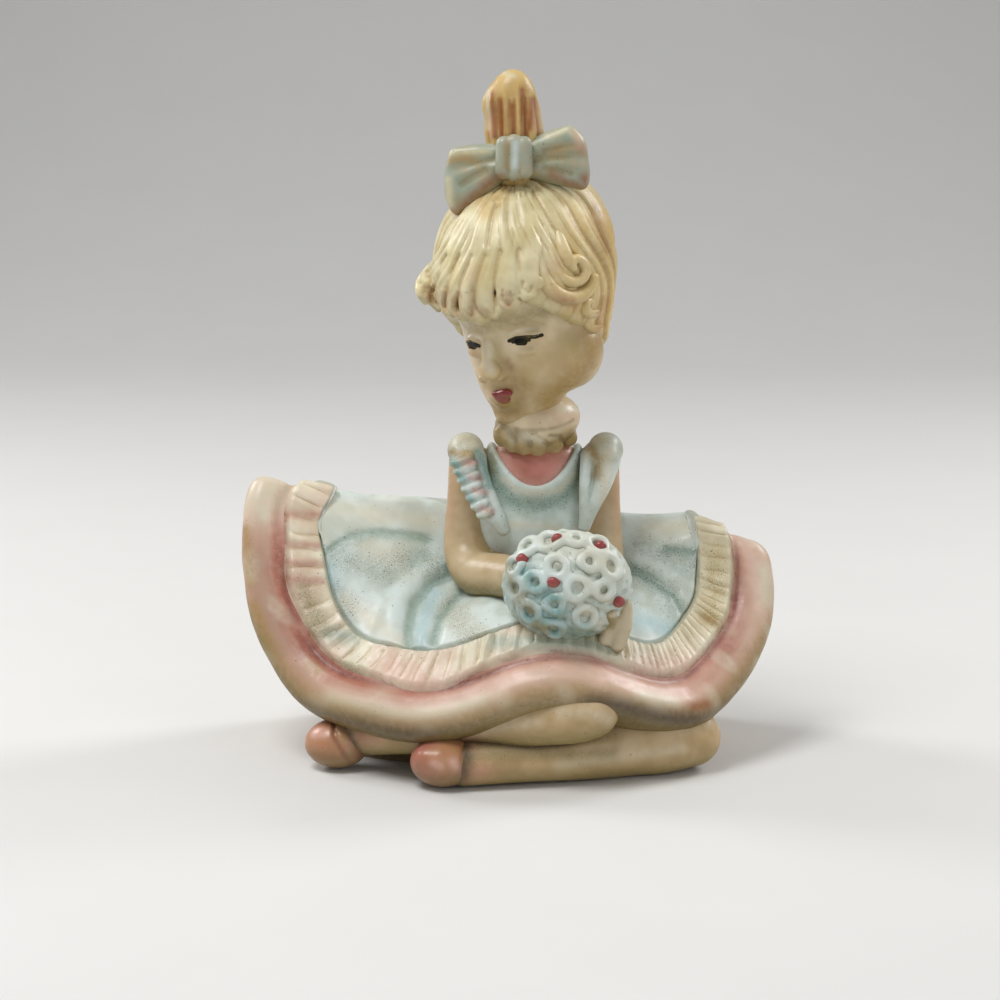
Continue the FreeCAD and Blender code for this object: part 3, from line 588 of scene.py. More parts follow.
def depth_masks(points, faces, fine=0.12, broad=0.6):
    """Masks for fine grooves and broad hollows, which take painted shade, and for high spots, lightened as
    wear and as painted highlight.
    """
    small = hollows(points, faces, FINE_REACH)
    large = hollows(points, faces, BROAD_REACH)
    return {
        "groove": eased_step(small, 0.0, fine),
        "hollow": eased_step(large, 0.0, broad),
        "high": eased_step(-large, 0.0, broad),
    }


# Materials


class Palette:
    """Node wiring for one satin paint."""

    def __init__(self, name):
        self.material = bpy.data.materials.new(name)
        self.material.use_nodes = True
        self.tree = self.material.node_tree
        self.tree.nodes.clear()
        self.place = self.node("ShaderNodeTexCoord").outputs["Object"]

    def node(self, kind, **settings):
        item = self.tree.nodes.new(kind)
        for key, value in settings.items():
            setattr(item, key, value)
        return item

    def join(self, source, target):
        self.tree.links.new(source, target)

    def set(self, socket, value):
        if isinstance(value, bpy.types.NodeSocket):
            self.join(value, socket)
        else:
            socket.default_value = value

    def sums(self, operation, *values):
        item = self.node("ShaderNodeMath", operation=operation)
        for socket, value in zip(item.inputs, values):
            self.set(socket, value)
        return item.outputs[0]

    def ramp(self, value, low, high, to_low=0.0, to_high=1.0):
        item = self.node("ShaderNodeMapRange", interpolation_type="SMOOTHSTEP")
        names = ("Value", "From Min", "From Max", "To Min", "To Max")
        for key, number in zip(names, (value, low, high, to_low, to_high)):
            self.set(item.inputs[key], number)
        return item.outputs["Result"]

    def noise(self, reach, detail, roughness=0.55):
        item = self.node("ShaderNodeTexNoise")
        self.join(self.place, item.inputs["Vector"])
        item.inputs["Scale"].default_value = 1 / (reach * MM)
        item.inputs["Detail"].default_value = detail
        item.inputs["Roughness"].default_value = roughness
        return item.outputs["Fac"]

    def mask(self, name):
        return self.node("ShaderNodeAttribute", attribute_name=name).outputs["Fac"]

    def mix(self, share, first, second):
        item = self.node("ShaderNodeMix", data_type="RGBA")
        self.set(item.inputs[0], share)
        for socket, value in zip((item.inputs[6], item.inputs[7]), (first, second)):
            self.set(socket, value if isinstance(value, bpy.types.NodeSocket) else (*value, 1))
        return item.outputs[2]


# Paints: the base tone, then how much speck, gloss and grain, and then the layers.
# A layer is a mask, a colour, a strength and how far brush marks break it up.
PAINTS = {
    # Border: olive, ochre, brick and umber painted shade under the hem, on its lower rim, in the crease
    # below the ruffle and above the front leg; cream painted highlight on the hem roll, the wings' tops
    # and the back; high spots lightened as wear and painted highlight
    "border paint": ("pink", (0.4, 0.42, 1.0), (
        ("left", "salmon", 0.85, 0.5), ("salmon", "salmon", 0.9, 0.35),
        ("deep", "brick", 0.45, 0.35), ("high", "cream", 0.35, 0.3), ("cream", "cream", 0.9, 0.25),
        ("ochre", "ochre", 0.8, 0.35), ("under", "olive", 0.92, 0.3), ("shaded", "umber", 0.3, 0.3),
        ("lap", "ice", 1.0, 0.1), ("edge", "ochre", 0.6, 0.4), ("patch", "cream", 0.6, 0.6),
        ("crease", "brick", 0.95, 0.3), ("amber", "amber", 0.8, 0.2), ("dark", "umber", 0.95, 0.15),
    )),
    # Ruffle: ochre, olive and brick painted shade in the pleats' grooves, a shaded corner, a pocket and
    # along the edge by the border
    "ruffle paint": ("cream", (0.6, 0.42, 1.0), (
        ("tint", "pink", 0.45, 0.5), ("blush", "rose", 0.6, 0.4), ("warm", "pink", 0.7, 0.45),
        ("straw", "straw", 0.55, 0.4), ("groove", "ochre", 0.4, 0.45), ("blue", "sage", 0.7, 0.3),
        ("shade", "olive", 0.5, 0.4), ("ochre", "ochre", 0.8, 0.3), ("inner", "sage", 0.45, 0.4),
        ("lip", "brick", 0.6, 0.55),
    )),
    # Apron: sage painted shade in grooves, folds and grey speckled patches, which also hold dust; cream
    # painted highlight along the ridges
    "apron paint": ("ice", (0.6, 0.42, 1.0), (
        ("warm", "cream", 0.5, 0.4), ("beige", "cream", 0.7, 0.35), ("blue", "sky", 0.8, 0.35),
        ("groove", "sage", 0.5, 0.4), ("shade", "sage", 0.75, 0.35), ("dusty", "sage", 0.3, 0.5),
        ("white", "cream", 0.6, 0.2), ("back", "cream", 0.35, 0.4),
    )),
    # Legs: ivory painted light on what faces up; olive and umber painted shade below, on the greenish
    # marks and behind; cream painted highlight along the knees
    "leg paint": ("tan", (0.4, 0.42, 1.0), (
        ("top", "ivory", 0.5, 0.35), ("under", "olive", 0.5, 0.3), ("light", "cream", 0.4, 0.4),
        ("cool", "olive", 0.6, 0.35), ("rose", "rose", 0.5, 0.35), ("shadow", "umber", 0.8, 0.2),
        ("seam", "umber", 0.9, 0.2),
    )),
    # Shoes: umber painted shade on what faces down, pink painted highlight on the toe's swellings and the
    # rear shoe
    "shoe paint": ("rose", (0.3, 0.34, 1.0), (
        ("aged", "ochre", 0.7, 0.4), ("tan", "tan", 0.7, 0.35), ("under", "umber", 0.5, 0.3),
        ("light", "pink", 0.7, 0.2), ("seam", "brick", 0.8, 0.2),
    )),
    "blouse paint": ("rose", (0.5, 0.42, 1.0), (
        ("pale", "pink", 0.7, 0.3), ("shade", "ochre", 0.6, 0.4),
    )),
    # Bib: sage and olive painted shade in the groove below the neckline's roll, in grooves and in the
    # corners beside the arms; cream painted highlight on the roll
    "bib paint": ("ice", (0.6, 0.42, 1.0), (
        ("deep", "sage", 0.85, 0.35), ("pale", "ice", 0.5, 0.2), ("groove", "sage", 0.6, 0.3),
        ("seam", "olive", 0.55, 0.4), ("rim", "sage", 0.75, 0.35), ("corner", "olive", 0.6, 0.5),
        ("white", "cream", 0.6, 0.3),
    )),
    # Skin: olive, umber and ochre painted shade on undersides and in hollows
    "skin paint": ("biscuit", (0.25, 0.42, 1.0), (
        ("blush", "blush", 0.7, 0.35), ("aged", "tan", 0.6, 0.4), ("pale", "cream", 0.6, 0.3),
        ("under", "olive", 0.85, 0.3), ("shaded", "umber", 0.5, 0.3), ("hollow", "ochre", 0.6, 0.3),
        ("seam", "olive", 0.7, 0.3),
    )),
    # Frills: sage, olive and ochre painted shade in grooves, hollows and the cap's recess; cream painted
    # highlight on the tops and the right edge
    "frill paint": ("ice", (0.6, 0.42, 1.0), (
        ("groove", "sage", 0.7, 0.2), ("shade", "olive", 0.55, 0.4), ("white", "cream", 0.85, 0.3),
        ("aged", "olive", 0.6, 0.3), ("recess", "ochre", 0.7, 0.35), ("blush", "rose", 0.65, 0.3),
        ("teal", "teal", 0.8, 0.35),
    )),
    # Neck: ochre painted shade in hollows and grooves
    "neck paint": ("ivory", (0.25, 0.42, 1.0), (
        ("hollow", "ochre", 0.6, 0.3), ("groove", "ochre", 0.4, 0.3),
    )),
    # Collar: ochre, olive and umber painted shade on the roll's lower part, in hollows and folds; cream
    # painted highlight
    "collar paint": ("ivory", (0.25, 0.42, 1.0), (
        ("blush", "pink", 0.4, 0.3), ("hollow", "olive", 0.5, 0.3), ("low", "ochre", 0.95, 0.2),
        ("groove", "umber", 0.4, 0.2), ("light", "cream", 0.8, 0.3), ("dark", "umber", 0.35, 0.3),
    )),
    # Flowers: sky, teal and olive painted shade on the lower left, sage in grooves and gaps, olive in the
    # rosettes' middles; cream painted light on the upper right
    "flower paint": ("ice", (0.6, 0.42, 1.0), (
        ("blue", "sky", 0.6, 0.35), ("groove", "sage", 0.7, 0.3), ("cream", "cream", 0.35, 0.4),
        ("teal", "teal", 0.85, 0.4), ("olive", "olive", 0.7, 0.35), ("white", "cream", 0.4, 0.3),
        ("eye", "olive", 0.4, 0.3),
    )),
    # Buds: rose painted highlight on the high spots
    "bud paint": ("red", (0.1, 0.42, 1.0), (("high", "rose", 0.3, 0.5),)),
    # Face: ochre and olive painted shade in hollows, under the fringe, on the jaw's right side and round
    # nose and lips; cream and straw painted highlight on the nose, the upper cheek and the lids
    "face paint": ("ivory", (0.25, 0.40, 0.6), (
        ("hollow", "ochre", 0.35, 0.3), ("brow", "olive", 0.7, 0.3), ("cheek", "blush", 0.35, 0.3),
        ("jaw", "ochre", 0.95, 0.2), ("olive", "olive", 0.38, 0.25), ("pale", "straw", 0.5, 0.3),
        ("light", "cream", 0.8, 0.2), ("orange", "amber", 0.55, 0.4), ("lid", "cream", 0.7, 0.2),
        ("iris", "ink", 0.97, 0.0), ("lash", "ink", 0.95, 0.0),
    )),
    # Lips: rose painted highlight on the high spots
    "lip paint": ("red", (0.0, 0.32, 0.4), (("high", "rose", 0.15, 0.4),)),
    # Hair: ochre painted shade in grooves and hollows, amber painted shade between the fringe's tips
    "hair paint": ("flax", (0.1, 0.40, 1.0), (
        ("straw", "straw", 0.6, 0.5), ("back", "gold", 0.6, 0.5), ("gold", "gold", 0.7, 0.4),
        ("blush", "blush", 0.25, 0.4), ("groove", "ochre", 0.5, 0.4),
        ("hollow", "ochre", 0.55, 0.3), ("amber", "amber", 0.5, 0.3),
    )),
    # Ponytail: ochre and amber painted shade in hollows and grooves, flax painted highlight along its
    # edges and top
    "ponytail paint": ("flax", (0.25, 0.42, 1.0), (
        ("whole", "gold", 0.9, 0.2), ("gold", "ochre", 0.5, 0.3), ("hollow", "ochre", 0.5, 0.3),
        ("groove", "amber", 0.5, 0.3), ("amber", "amber", 0.95, 0.1), ("blush", "blush", 0.5, 0.3),
        ("light", "flax", 0.8, 0.3),
    )),
    # Bow: olive painted shade in the creases, amber painted shade along the loops' lower edges, ice on
    # high spots as painted highlight and wear
    "bow paint": ("sage", (0.4, 0.42, 1.0), (
        ("pale", "ice", 0.5, 0.3), ("aged", "tan", 0.6, 0.5), ("cream", "flax", 0.8, 0.3),
        ("ochre", "ochre", 0.65, 0.3), ("groove", "olive", 0.5, 0.3), ("blush", "blush", 0.5, 0.4),
        ("warm", "amber", 0.8, 0.3), ("stripe", "ice", 0.95, 0.2),
    )),
}
# The reach of each pattern in the paint, and the bump's height
TONE_REACH = 9.0
BRUSH_REACH = 2.2
GRAIN_REACH = 0.6
PIT_REACH = 0.85
HAZE_REACH = 0.34
BUMP_HEIGHT = 0.22
# How much darker the base tone gets in its deep patches, as shares of red, green and blue
DEEP_SHARES = (0.90, 0.87, 0.80)
# How strongly the painted shade on undersides, the haze and the pits darken the paint
UNDERSIDE_SHADE_STRENGTH = 0.42
HAZE_STRENGTH = 0.55
PIT_STRENGTH = 0.85
# Share of the cells that hold a pit: everywhere, by speckling and by dust
PIT_CHANCE = 0.004
SPECK_CHANCE = 0.022
DUST_CHANCE = 0.5
# What brush marks, grain and pits do to the surface's height, and how strong the bump is
BRUSH_RELIEF = 0.55
GRAIN_RELIEF = 0.22
PIT_RELIEF = 0.6
BUMP_STRENGTH = 0.55
# The varnish's own roughness, and how far wear and dust change the paint's
COAT_ROUGHNESS = 0.22
WORN_SMOOTH = 0.07
WORN_ROUGH = 0.12
DUST_ROUGH = 0.2


def layered(kit, base, layers, marks):
    """The base tone with each layer brushed over it where its mask lies, then olive painted shade where
    the surface faces down.
    """
    tones = bpy.context.scene.plaster_colours
    base = tuple(getattr(tones, base))
    pale = tuple(min(1.0, c * 1.10 + 0.01) for c in base)
    deep = tuple(c * share for c, share in zip(base, DEEP_SHARES))
    colour = kit.mix(kit.ramp(kit.noise(TONE_REACH, 2.0), 0.35, 0.65), deep, pale)
    for mask, tone, strength, breakup in layers:
        amount = kit.mask(mask)
        if breakup == 0.0:
            amount = kit.ramp(amount, 0.42, 0.58)
        patchy = kit.ramp(marks, 0.30, 0.66, 1.0 - breakup, 1.0)
        amount = kit.sums("MULTIPLY", kit.sums("MULTIPLY", amount, patchy), strength)
        colour = kit.mix(amount, colour, tuple(getattr(tones, tone)))
    # Olive painted shade over the low mask, on surfaces that face down
    return kit.mix(kit.sums("MULTIPLY", kit.mask("low"), UNDERSIDE_SHADE_STRENGTH), colour, tuple(tones.olive))


def pinholes(kit, dust, speck):
    """Casting pits in a few of the pattern's cells, more of them in dust."""
    cells = kit.node("ShaderNodeTexVoronoi")
    kit.join(kit.place, cells.inputs["Vector"])
    cells.inputs["Scale"].default_value = 1 / (PIT_REACH * MM)
    pits = kit.ramp(cells.outputs["Distance"], 0.16, 0.34, 1.0, 0.0)
    chance = kit.node("ShaderNodeSeparateColor")
    kit.join(cells.outputs["Color"], chance.inputs[0])
    wanted = kit.sums("ADD", kit.sums("MULTIPLY", dust, DUST_CHANCE), PIT_CHANCE + speck * SPECK_CHANCE)
    picked = kit.sums("LESS_THAN", chance.outputs[0], wanted)
    return kit.sums("MULTIPLY", kit.sums("MULTIPLY", pits, picked), chance.outputs[1])


def dirtied(kit, colour, dust, pits):
    """The paint with a sooty haze in the dust and dark pits."""
    soot = tuple(bpy.context.scene.plaster_colours.soot)
    haze = kit.ramp(kit.noise(HAZE_REACH, 2.0, 0.6), 0.49, 0.60)
    haze = kit.sums("MULTIPLY", kit.sums("MULTIPLY", haze, dust), HAZE_STRENGTH)
    colour = kit.mix(haze, colour, soot)
    return kit.mix(kit.sums("MULTIPLY", pits, PIT_STRENGTH), colour, soot)


def fine_relief(kit, marks, pits, grain):
    """Fine relief from brush marks, grain and pits."""
    fine = kit.noise(GRAIN_REACH, 3.0, 0.6)
    height = kit.sums("MULTIPLY", marks, BRUSH_RELIEF * grain)
    height = kit.sums("ADD", height, kit.sums("MULTIPLY", fine, GRAIN_RELIEF * grain))
    height = kit.sums("SUBTRACT", height, kit.sums("MULTIPLY", pits, PIT_RELIEF))
    bump = kit.node("ShaderNodeBump")
    bump.inputs["Strength"].default_value = BUMP_STRENGTH
    bump.inputs["Distance"].default_value = BUMP_HEIGHT * MM
    kit.join(height, bump.inputs["Height"])
    return bump.outputs[0]


def satin(name):
    """Brushed paint under worn satin varnish, from its row of the table."""
    base, (speck, rough, grain), layers = PAINTS[name]
    kit = Palette(name)
    marks = kit.noise(BRUSH_REACH, 4.0, 0.65)
    dust = kit.mask("dust")
    pits = pinholes(kit, dust, speck)
    shader = kit.node("ShaderNodeBsdfPrincipled")
    colour = dirtied(kit, layered(kit, base, layers, marks), dust, pits)
    kit.join(colour, shader.inputs["Base Color"])
    worn = kit.ramp(marks, 0.3, 0.7, rough - WORN_SMOOTH, rough + WORN_ROUGH)
    kit.join(kit.sums("ADD", worn, kit.sums("MULTIPLY", dust, DUST_ROUGH)), shader.inputs["Roughness"])
    kit.join(kit.ramp(kit.mask("matt"), 0.1, 0.6, 0.5, 0.1), shader.inputs["Specular IOR Level"])
    kit.join(kit.ramp(kit.mask("matt"), 0.1, 0.6, 0.22, 0.0), shader.inputs["Coat Weight"])
    shader.inputs["Coat Roughness"].default_value = COAT_ROUGHNESS
    kit.join(fine_relief(kit, marks, pits, grain), shader.inputs["Normal"])
    output = kit.node("ShaderNodeOutputMaterial")
    kit.join(shader.outputs[0], output.inputs["Surface"])
    return kit.material


# Skirt, ruffle and apron, from rings that go round and up over the hem

# A station gives the hem point and the point half way in, in millimetres.
# Stations go round from the right wing by the back.
SKIRT_STATIONS = np.array(
    [
        [[1.00, -0.02, 0.60], [0.66, 0.04, 0.70]],
        [[1.00, 0.13, 0.76], [0.75, 0.14, 0.83]],
        [[0.96, 0.30, 0.77], [0.74, 0.27, 0.89]],
        [[0.89, 0.50, 0.54], [0.62, 0.35, 0.88]],
        [[0.76, 0.70, 0.28], [0.48, 0.40, 0.85]],
        [[0.56, 0.82, 0.15], [0.34, 0.43, 0.84]],
        [[0.29, 0.87, 0.13], [0.20, 0.44, 0.83]],
        [[0.00, 0.88, 0.13], [0.05, 0.45, 0.84]],
        [[-0.29, 0.87, 0.13], [-0.16, 0.44, 0.85]],
        [[-0.56, 0.82, 0.16], [-0.36, 0.42, 0.88]],
        [[-0.77, 0.70, 0.32], [-0.54, 0.38, 0.92]],
        [[-0.91, 0.50, 0.68], [-0.70, 0.33, 0.98]],
        [[-0.96, 0.32, 1.01], [-0.78, 0.27, 1.01]],
        [[-0.99, 0.13, 1.01], [-0.75, 0.15, 0.90]],
        [[-1.00, -0.03, 0.80], [-0.64, 0.03, 0.76]],
        [[-0.95, -0.22, 0.57], [-0.56, -0.10, 0.64]],
        [[-0.80, -0.46, 0.36], [-0.47, -0.26, 0.56]],
        [[-0.60, -0.72, 0.31], [-0.36, -0.40, 0.54]],
        [[-0.37, -0.93, 0.29], [-0.22, -0.52, 0.58]],
        [[-0.14, -1.01, 0.34], [-0.09, -0.56, 0.62]],
        [[0.09, -1.04, 0.43], [0.07, -0.57, 0.64]],
        [[0.31, -1.02, 0.43], [0.23, -0.56, 0.64]],
        [[0.51, -0.90, 0.35], [0.36, -0.48, 0.61]],
        [[0.70, -0.69, 0.30], [0.47, -0.36, 0.57]],
        [[0.84, -0.45, 0.36], [0.56, -0.22, 0.58]],
        [[0.95, -0.22, 0.47], [0.63, -0.10, 0.63]],
    ]
) * (85.5, 49.0, 88.0)
WAIST_CENTRE = np.array([8.5, 3.0, 60.0])
WAIST_RADII = (18.5, 11.5)
BASE_RADII = (57.0, 40.0, 22.0)
# How many columns lie between two stations, and how many rows between two rings
SPAN_STEPS = 32
RING_ROWS = 48
STATION_COUNT = len(SKIRT_STATIONS)
# How far the border and the apron's edge lie in from the hem, and the most as a share
BORDER_REACH = (9.5, 0.3)
APRON_REACH = (23.0, 0.6)
# The skirt's side swells away from this centre, and its foot and belly stand out
SWELL_CENTRE = (0, -19.6, 140)
SWELL = 6
FOOT_HEIGHT = 1.5
BELLY = 6


class SkirtRings:
    """The rings from the flat base to the waist, at the stations."""

    def __init__(self):
        self.hem = SKIRT_STATIONS[:, 0]
        self.middle = SKIRT_STATIONS[:, 1]
        offset = self.middle - WAIST_CENTRE
        angle = np.arctan2(offset[:, 1] / WAIST_RADII[1], offset[:, 0] / WAIST_RADII[0])
        cos, sin = np.cos(angle), np.sin(angle)
        wide, deep = WAIST_RADII[0] * 0.9, WAIST_RADII[1] * 0.9
        self.waist = WAIST_CENTRE + np.stack([wide * cos, deep * sin, cos * 0], 1)
        self.border = self.inward(*BORDER_REACH)
        self.apron_edge = self.inward(*APRON_REACH)
        away = self.hem - SWELL_CENTRE
        self.outside = self.hem + away / np.linalg.norm(away, axis=1, keepdims=True) * SWELL
        deep = np.where(sin > 0, BASE_RADII[1], BASE_RADII[2])
        self.ground = np.stack([BASE_RADII[0] * cos, deep * sin, sin * 0], 1)
        self.foot = self.ground + (0, 0, FOOT_HEIGHT)
        out = np.stack([cos, sin, sin * 0], 1)
        self.belly = (self.foot + self.outside) / 2 + out * (BELLY * sin)[:, None]

    def inward(self, reach, limit):
        """Where a length along the skirt from the hem ends, or a share of it if that is less."""
        found = []
        for rows in zip(self.hem, self.middle, self.waist):
            curve = open_curve(rows, 60)
            steps = np.linalg.norm(np.diff(curve, axis=0), axis=1)
            run = np.concatenate([[0], np.cumsum(steps)])
            stop = min(reach, run[-1] * limit)
            found.append([np.interp(stop, run, curve[:, k]) for k in range(3)])
        return np.array(found)


def rounds(rings, steps):
    """Rows of points through the rings, with the given steps between them."""
    fine = [closed_curve(ring, SPAN_STEPS) for ring in rings]
    rows = open_curve(np.stack(fine), RING_ROWS)
    picked = [0]
    for k, count in enumerate(steps):
        share = np.arange(1, count + 1) / count
        picked += list(np.round(k * RING_ROWS + RING_ROWS * share).astype(int))
    return rows[picked]


def row_normals(rows):
    along = np.roll(rows, -1, 1) - np.roll(rows, 1, 1)
    inward = np.gradient(rows, axis=0)
    normal = np.cross(along, inward)
    return normal / np.linalg.norm(normal, axis=-1, keepdims=True)


def wrapped_faces(row_count, column_count, wrap):
    """Faces between neighbouring rows, and from the last to the first if wrapped."""
    rows = np.arange(row_count if wrap else row_count - 1)
    r, c = np.meshgrid(rows, np.arange(column_count), indexing="ij")
    right = (c + 1) % column_count
    above = (r + 1) % row_count
    quads = [r * column_count + c, r * column_count + right]
    quads += [above * column_count + right, above * column_count + c]
    return np.stack([q.ravel() for q in quads], 1)


def with_caps(points, faces, column_count):
    """Close the first and the last row with fans, written as four-sided faces."""
    first = points[:column_count].mean(0)
    last = points[-column_count:].mean(0)
    top = len(points)
    c = np.arange(0, column_count, 2)
    base = len(points) - column_count
    low = np.stack([c * 0 + top, (c + 2) % column_count, c + 1, c], 1)
    high = np.stack([base + c, base + c + 1, base + (c + 2) % column_count, c * 0 + top + 1], 1)
    return np.vstack([points, first, last]), np.vstack([faces, low, high])


def station_of(columns):
    """The station number at each of the columns."""
    return np.arange(columns) / SPAN_STEPS


def by_station(columns, marks):
    """A value that changes smoothly from station to station. Marks are (station, value)."""
    places = np.array([m[0] for m in marks] + [marks[0][0] + STATION_COUNT])
    values = np.array([m[1] for m in marks] + [marks[0][1]])
    around = (station_of(columns) - places[0]) % STATION_COUNT + places[0]
    return np.interp(around, places, values)


# How deep a sheet's underside lies in the skirt
SHEET_DEPTH = 1.4


def sheet(top, under):
    """A closed sheet: the top rows, then three rows just below going back."""
    picks = [-1, len(under) // 2, 0]
    back = under[picks] - row_normals(under)[picks] * SHEET_DEPTH
    return np.concatenate([top, back])


# Painted marks by the photograph's pixels: for each mask its paths and their width
BORDER_MARKS = {
    "deep": ((
        ((254, 560), (259, 592), (270, 622), (284, 648)), ((300, 640), (312, 664)),
        ((738, 580), (740, 628), (722, 656)),
    ), 11.0),
    "salmon": ((
        ((260, 560), (266, 600), (284, 640)), ((716, 696), (738, 655)), ((296, 655), (340, 692)),
        ((360, 690), (400, 705)),
    ), 22.0),
    # Cream painted highlight along the hem roll and the wings' edges
    "cream": ((
        ((256, 490), (264, 515)), ((330, 700), (380, 712), (412, 716), (446, 712), (482, 702)),
        ((640, 698), (672, 704)), ((765, 570), (768, 600)),
    ), 9.0),
    "ochre": ((((245, 530), (249, 582)), ((308, 664), (318, 672)), ((254, 606), (268, 645))), 6.0),
    "amber": ((((694, 706), (706, 705)),), 6.0),
}
RUFFLE_MARKS = {
    "blush": ((
        ((284, 516), (320, 514)), ((284, 544), (321, 546)), ((287, 562), (322, 564)),
        ((289, 579), (322, 581)),
    ), 4.5),
    "warm": ((
        ((392, 668), (430, 688), (478, 676)), ((560, 664), (592, 668)), ((640, 668), (690, 664)),
    ), 13.0),
    # Olive painted shade in a shaded corner
    "shade": ((((304, 594), (320, 628)), ((352, 672), (342, 670))), 11.0),
    "blue": ((((330, 634), (352, 637)), ((496, 642), (540, 643), (580, 644), (612, 648))), 9.0),
    "straw": ((((716, 552), (713, 618)),), 13.0),
    # Ochre painted shade in a pocket
    "ochre": ((((722, 632), (731, 624)), ((704, 616), (716, 622))), 5.0),
}
APRON_MARKS = {
    "blue": ((
        ((327, 570), (334, 618)), ((434, 594), (421, 628), (420, 656)), ((552, 648), (602, 656)),
        ((640, 622), (678, 632)), ((612, 560), (616, 600)),
    ), 10.0),
    # Grey speckled patches: partly dust, partly sage painted shade
    "dusty": ((
        ((335, 556), (388, 572)), ((334, 592), (348, 612)), ((450, 606), (472, 640)),
        ((634, 570), (674, 598), (688, 620)), ((640, 545), (694, 560)), ((405, 560), (440, 565)),
    ), 15.0),
    "shade": ((
        ((450, 575), (431, 584), (414, 605), (408, 632), (408, 655)),
        ((471, 584), (456, 598), (440, 619), (434, 642)),
        ((326, 553), (349, 539), (372, 534), (402, 535), (427, 541)),
        ((634, 571), (654, 583), (676, 599), (687, 621)), ((446, 566), (470, 588), (496, 596)),
        ((666, 551), (702, 553)),
    ), 5.0),
    # Cream painted highlight along the ridges
    "white": ((
        ((330, 507), (380, 513), (432, 522)), ((650, 529), (702, 524)), ((345, 600), (395, 640)),
    ), 10.0),
    "beige": ((((447, 608), (476, 640)), ((370, 550), (400, 560))), 16.0),
}
# Grooves across the apron: pixels, width in pixels and depth. A negative depth raises a fold.
APRON_FOLDS = (
    (((325, 552), (349, 537), (372, 532), (402, 533), (427, 539)), 3.5, 0.8),
    (((450, 575), (431, 584), (414, 605), (408, 632), (408, 655)), 6.5, 1.5),
    (((471, 584), (456, 598), (440, 619), (434, 642), (433, 661)), 5.5, 1.3),
    (((440, 566), (410, 585), (392, 610), (388, 640)), 11.0, -1.0),
    (((462, 590), (446, 606), (423, 640)), 6.0, -0.7), (((666, 550), (702, 552)), 3.5, 0.7),
    (((631, 569), (652, 580), (674, 596), (686, 619)), 5.5, 1.3),
    (((636, 562), (662, 572), (690, 592)), 7.0, -0.6), (((552, 643), (578, 656)), 4.5, 0.8),
    (((572, 640), (598, 655)), 4.5, 0.8), (((590, 640), (608, 650)), 4.0, 0.6),
    (((340, 600), (352, 625)), 6.0, 0.5),
)
# Rows from the foot to the belly, the outside, the hem and the border, and then up to the waist
SIDE_STEPS = (26, 26, 7, 14)
LAP_STEPS = (12, 16, 6)
# The wings' sides are drawn in by so much, and the skirt lies lower below the ruffle
WING_SHIFT = 0.28
LAP_SINK = 1.1
CREASE_DEPTH = 0.9
# How dark the painted shade in the crease below the ruffle is, at stations round the skirt
CREASE_SHADE = (
    (0, 0.8), (2, 0.3), (12, 0.3), (14.0, 0.5), (15.2, 1.0), (17.0, 0.8), (19, 0.9), (22, 0.6),
    (24.5, 1.0), (26, 0.8),
)


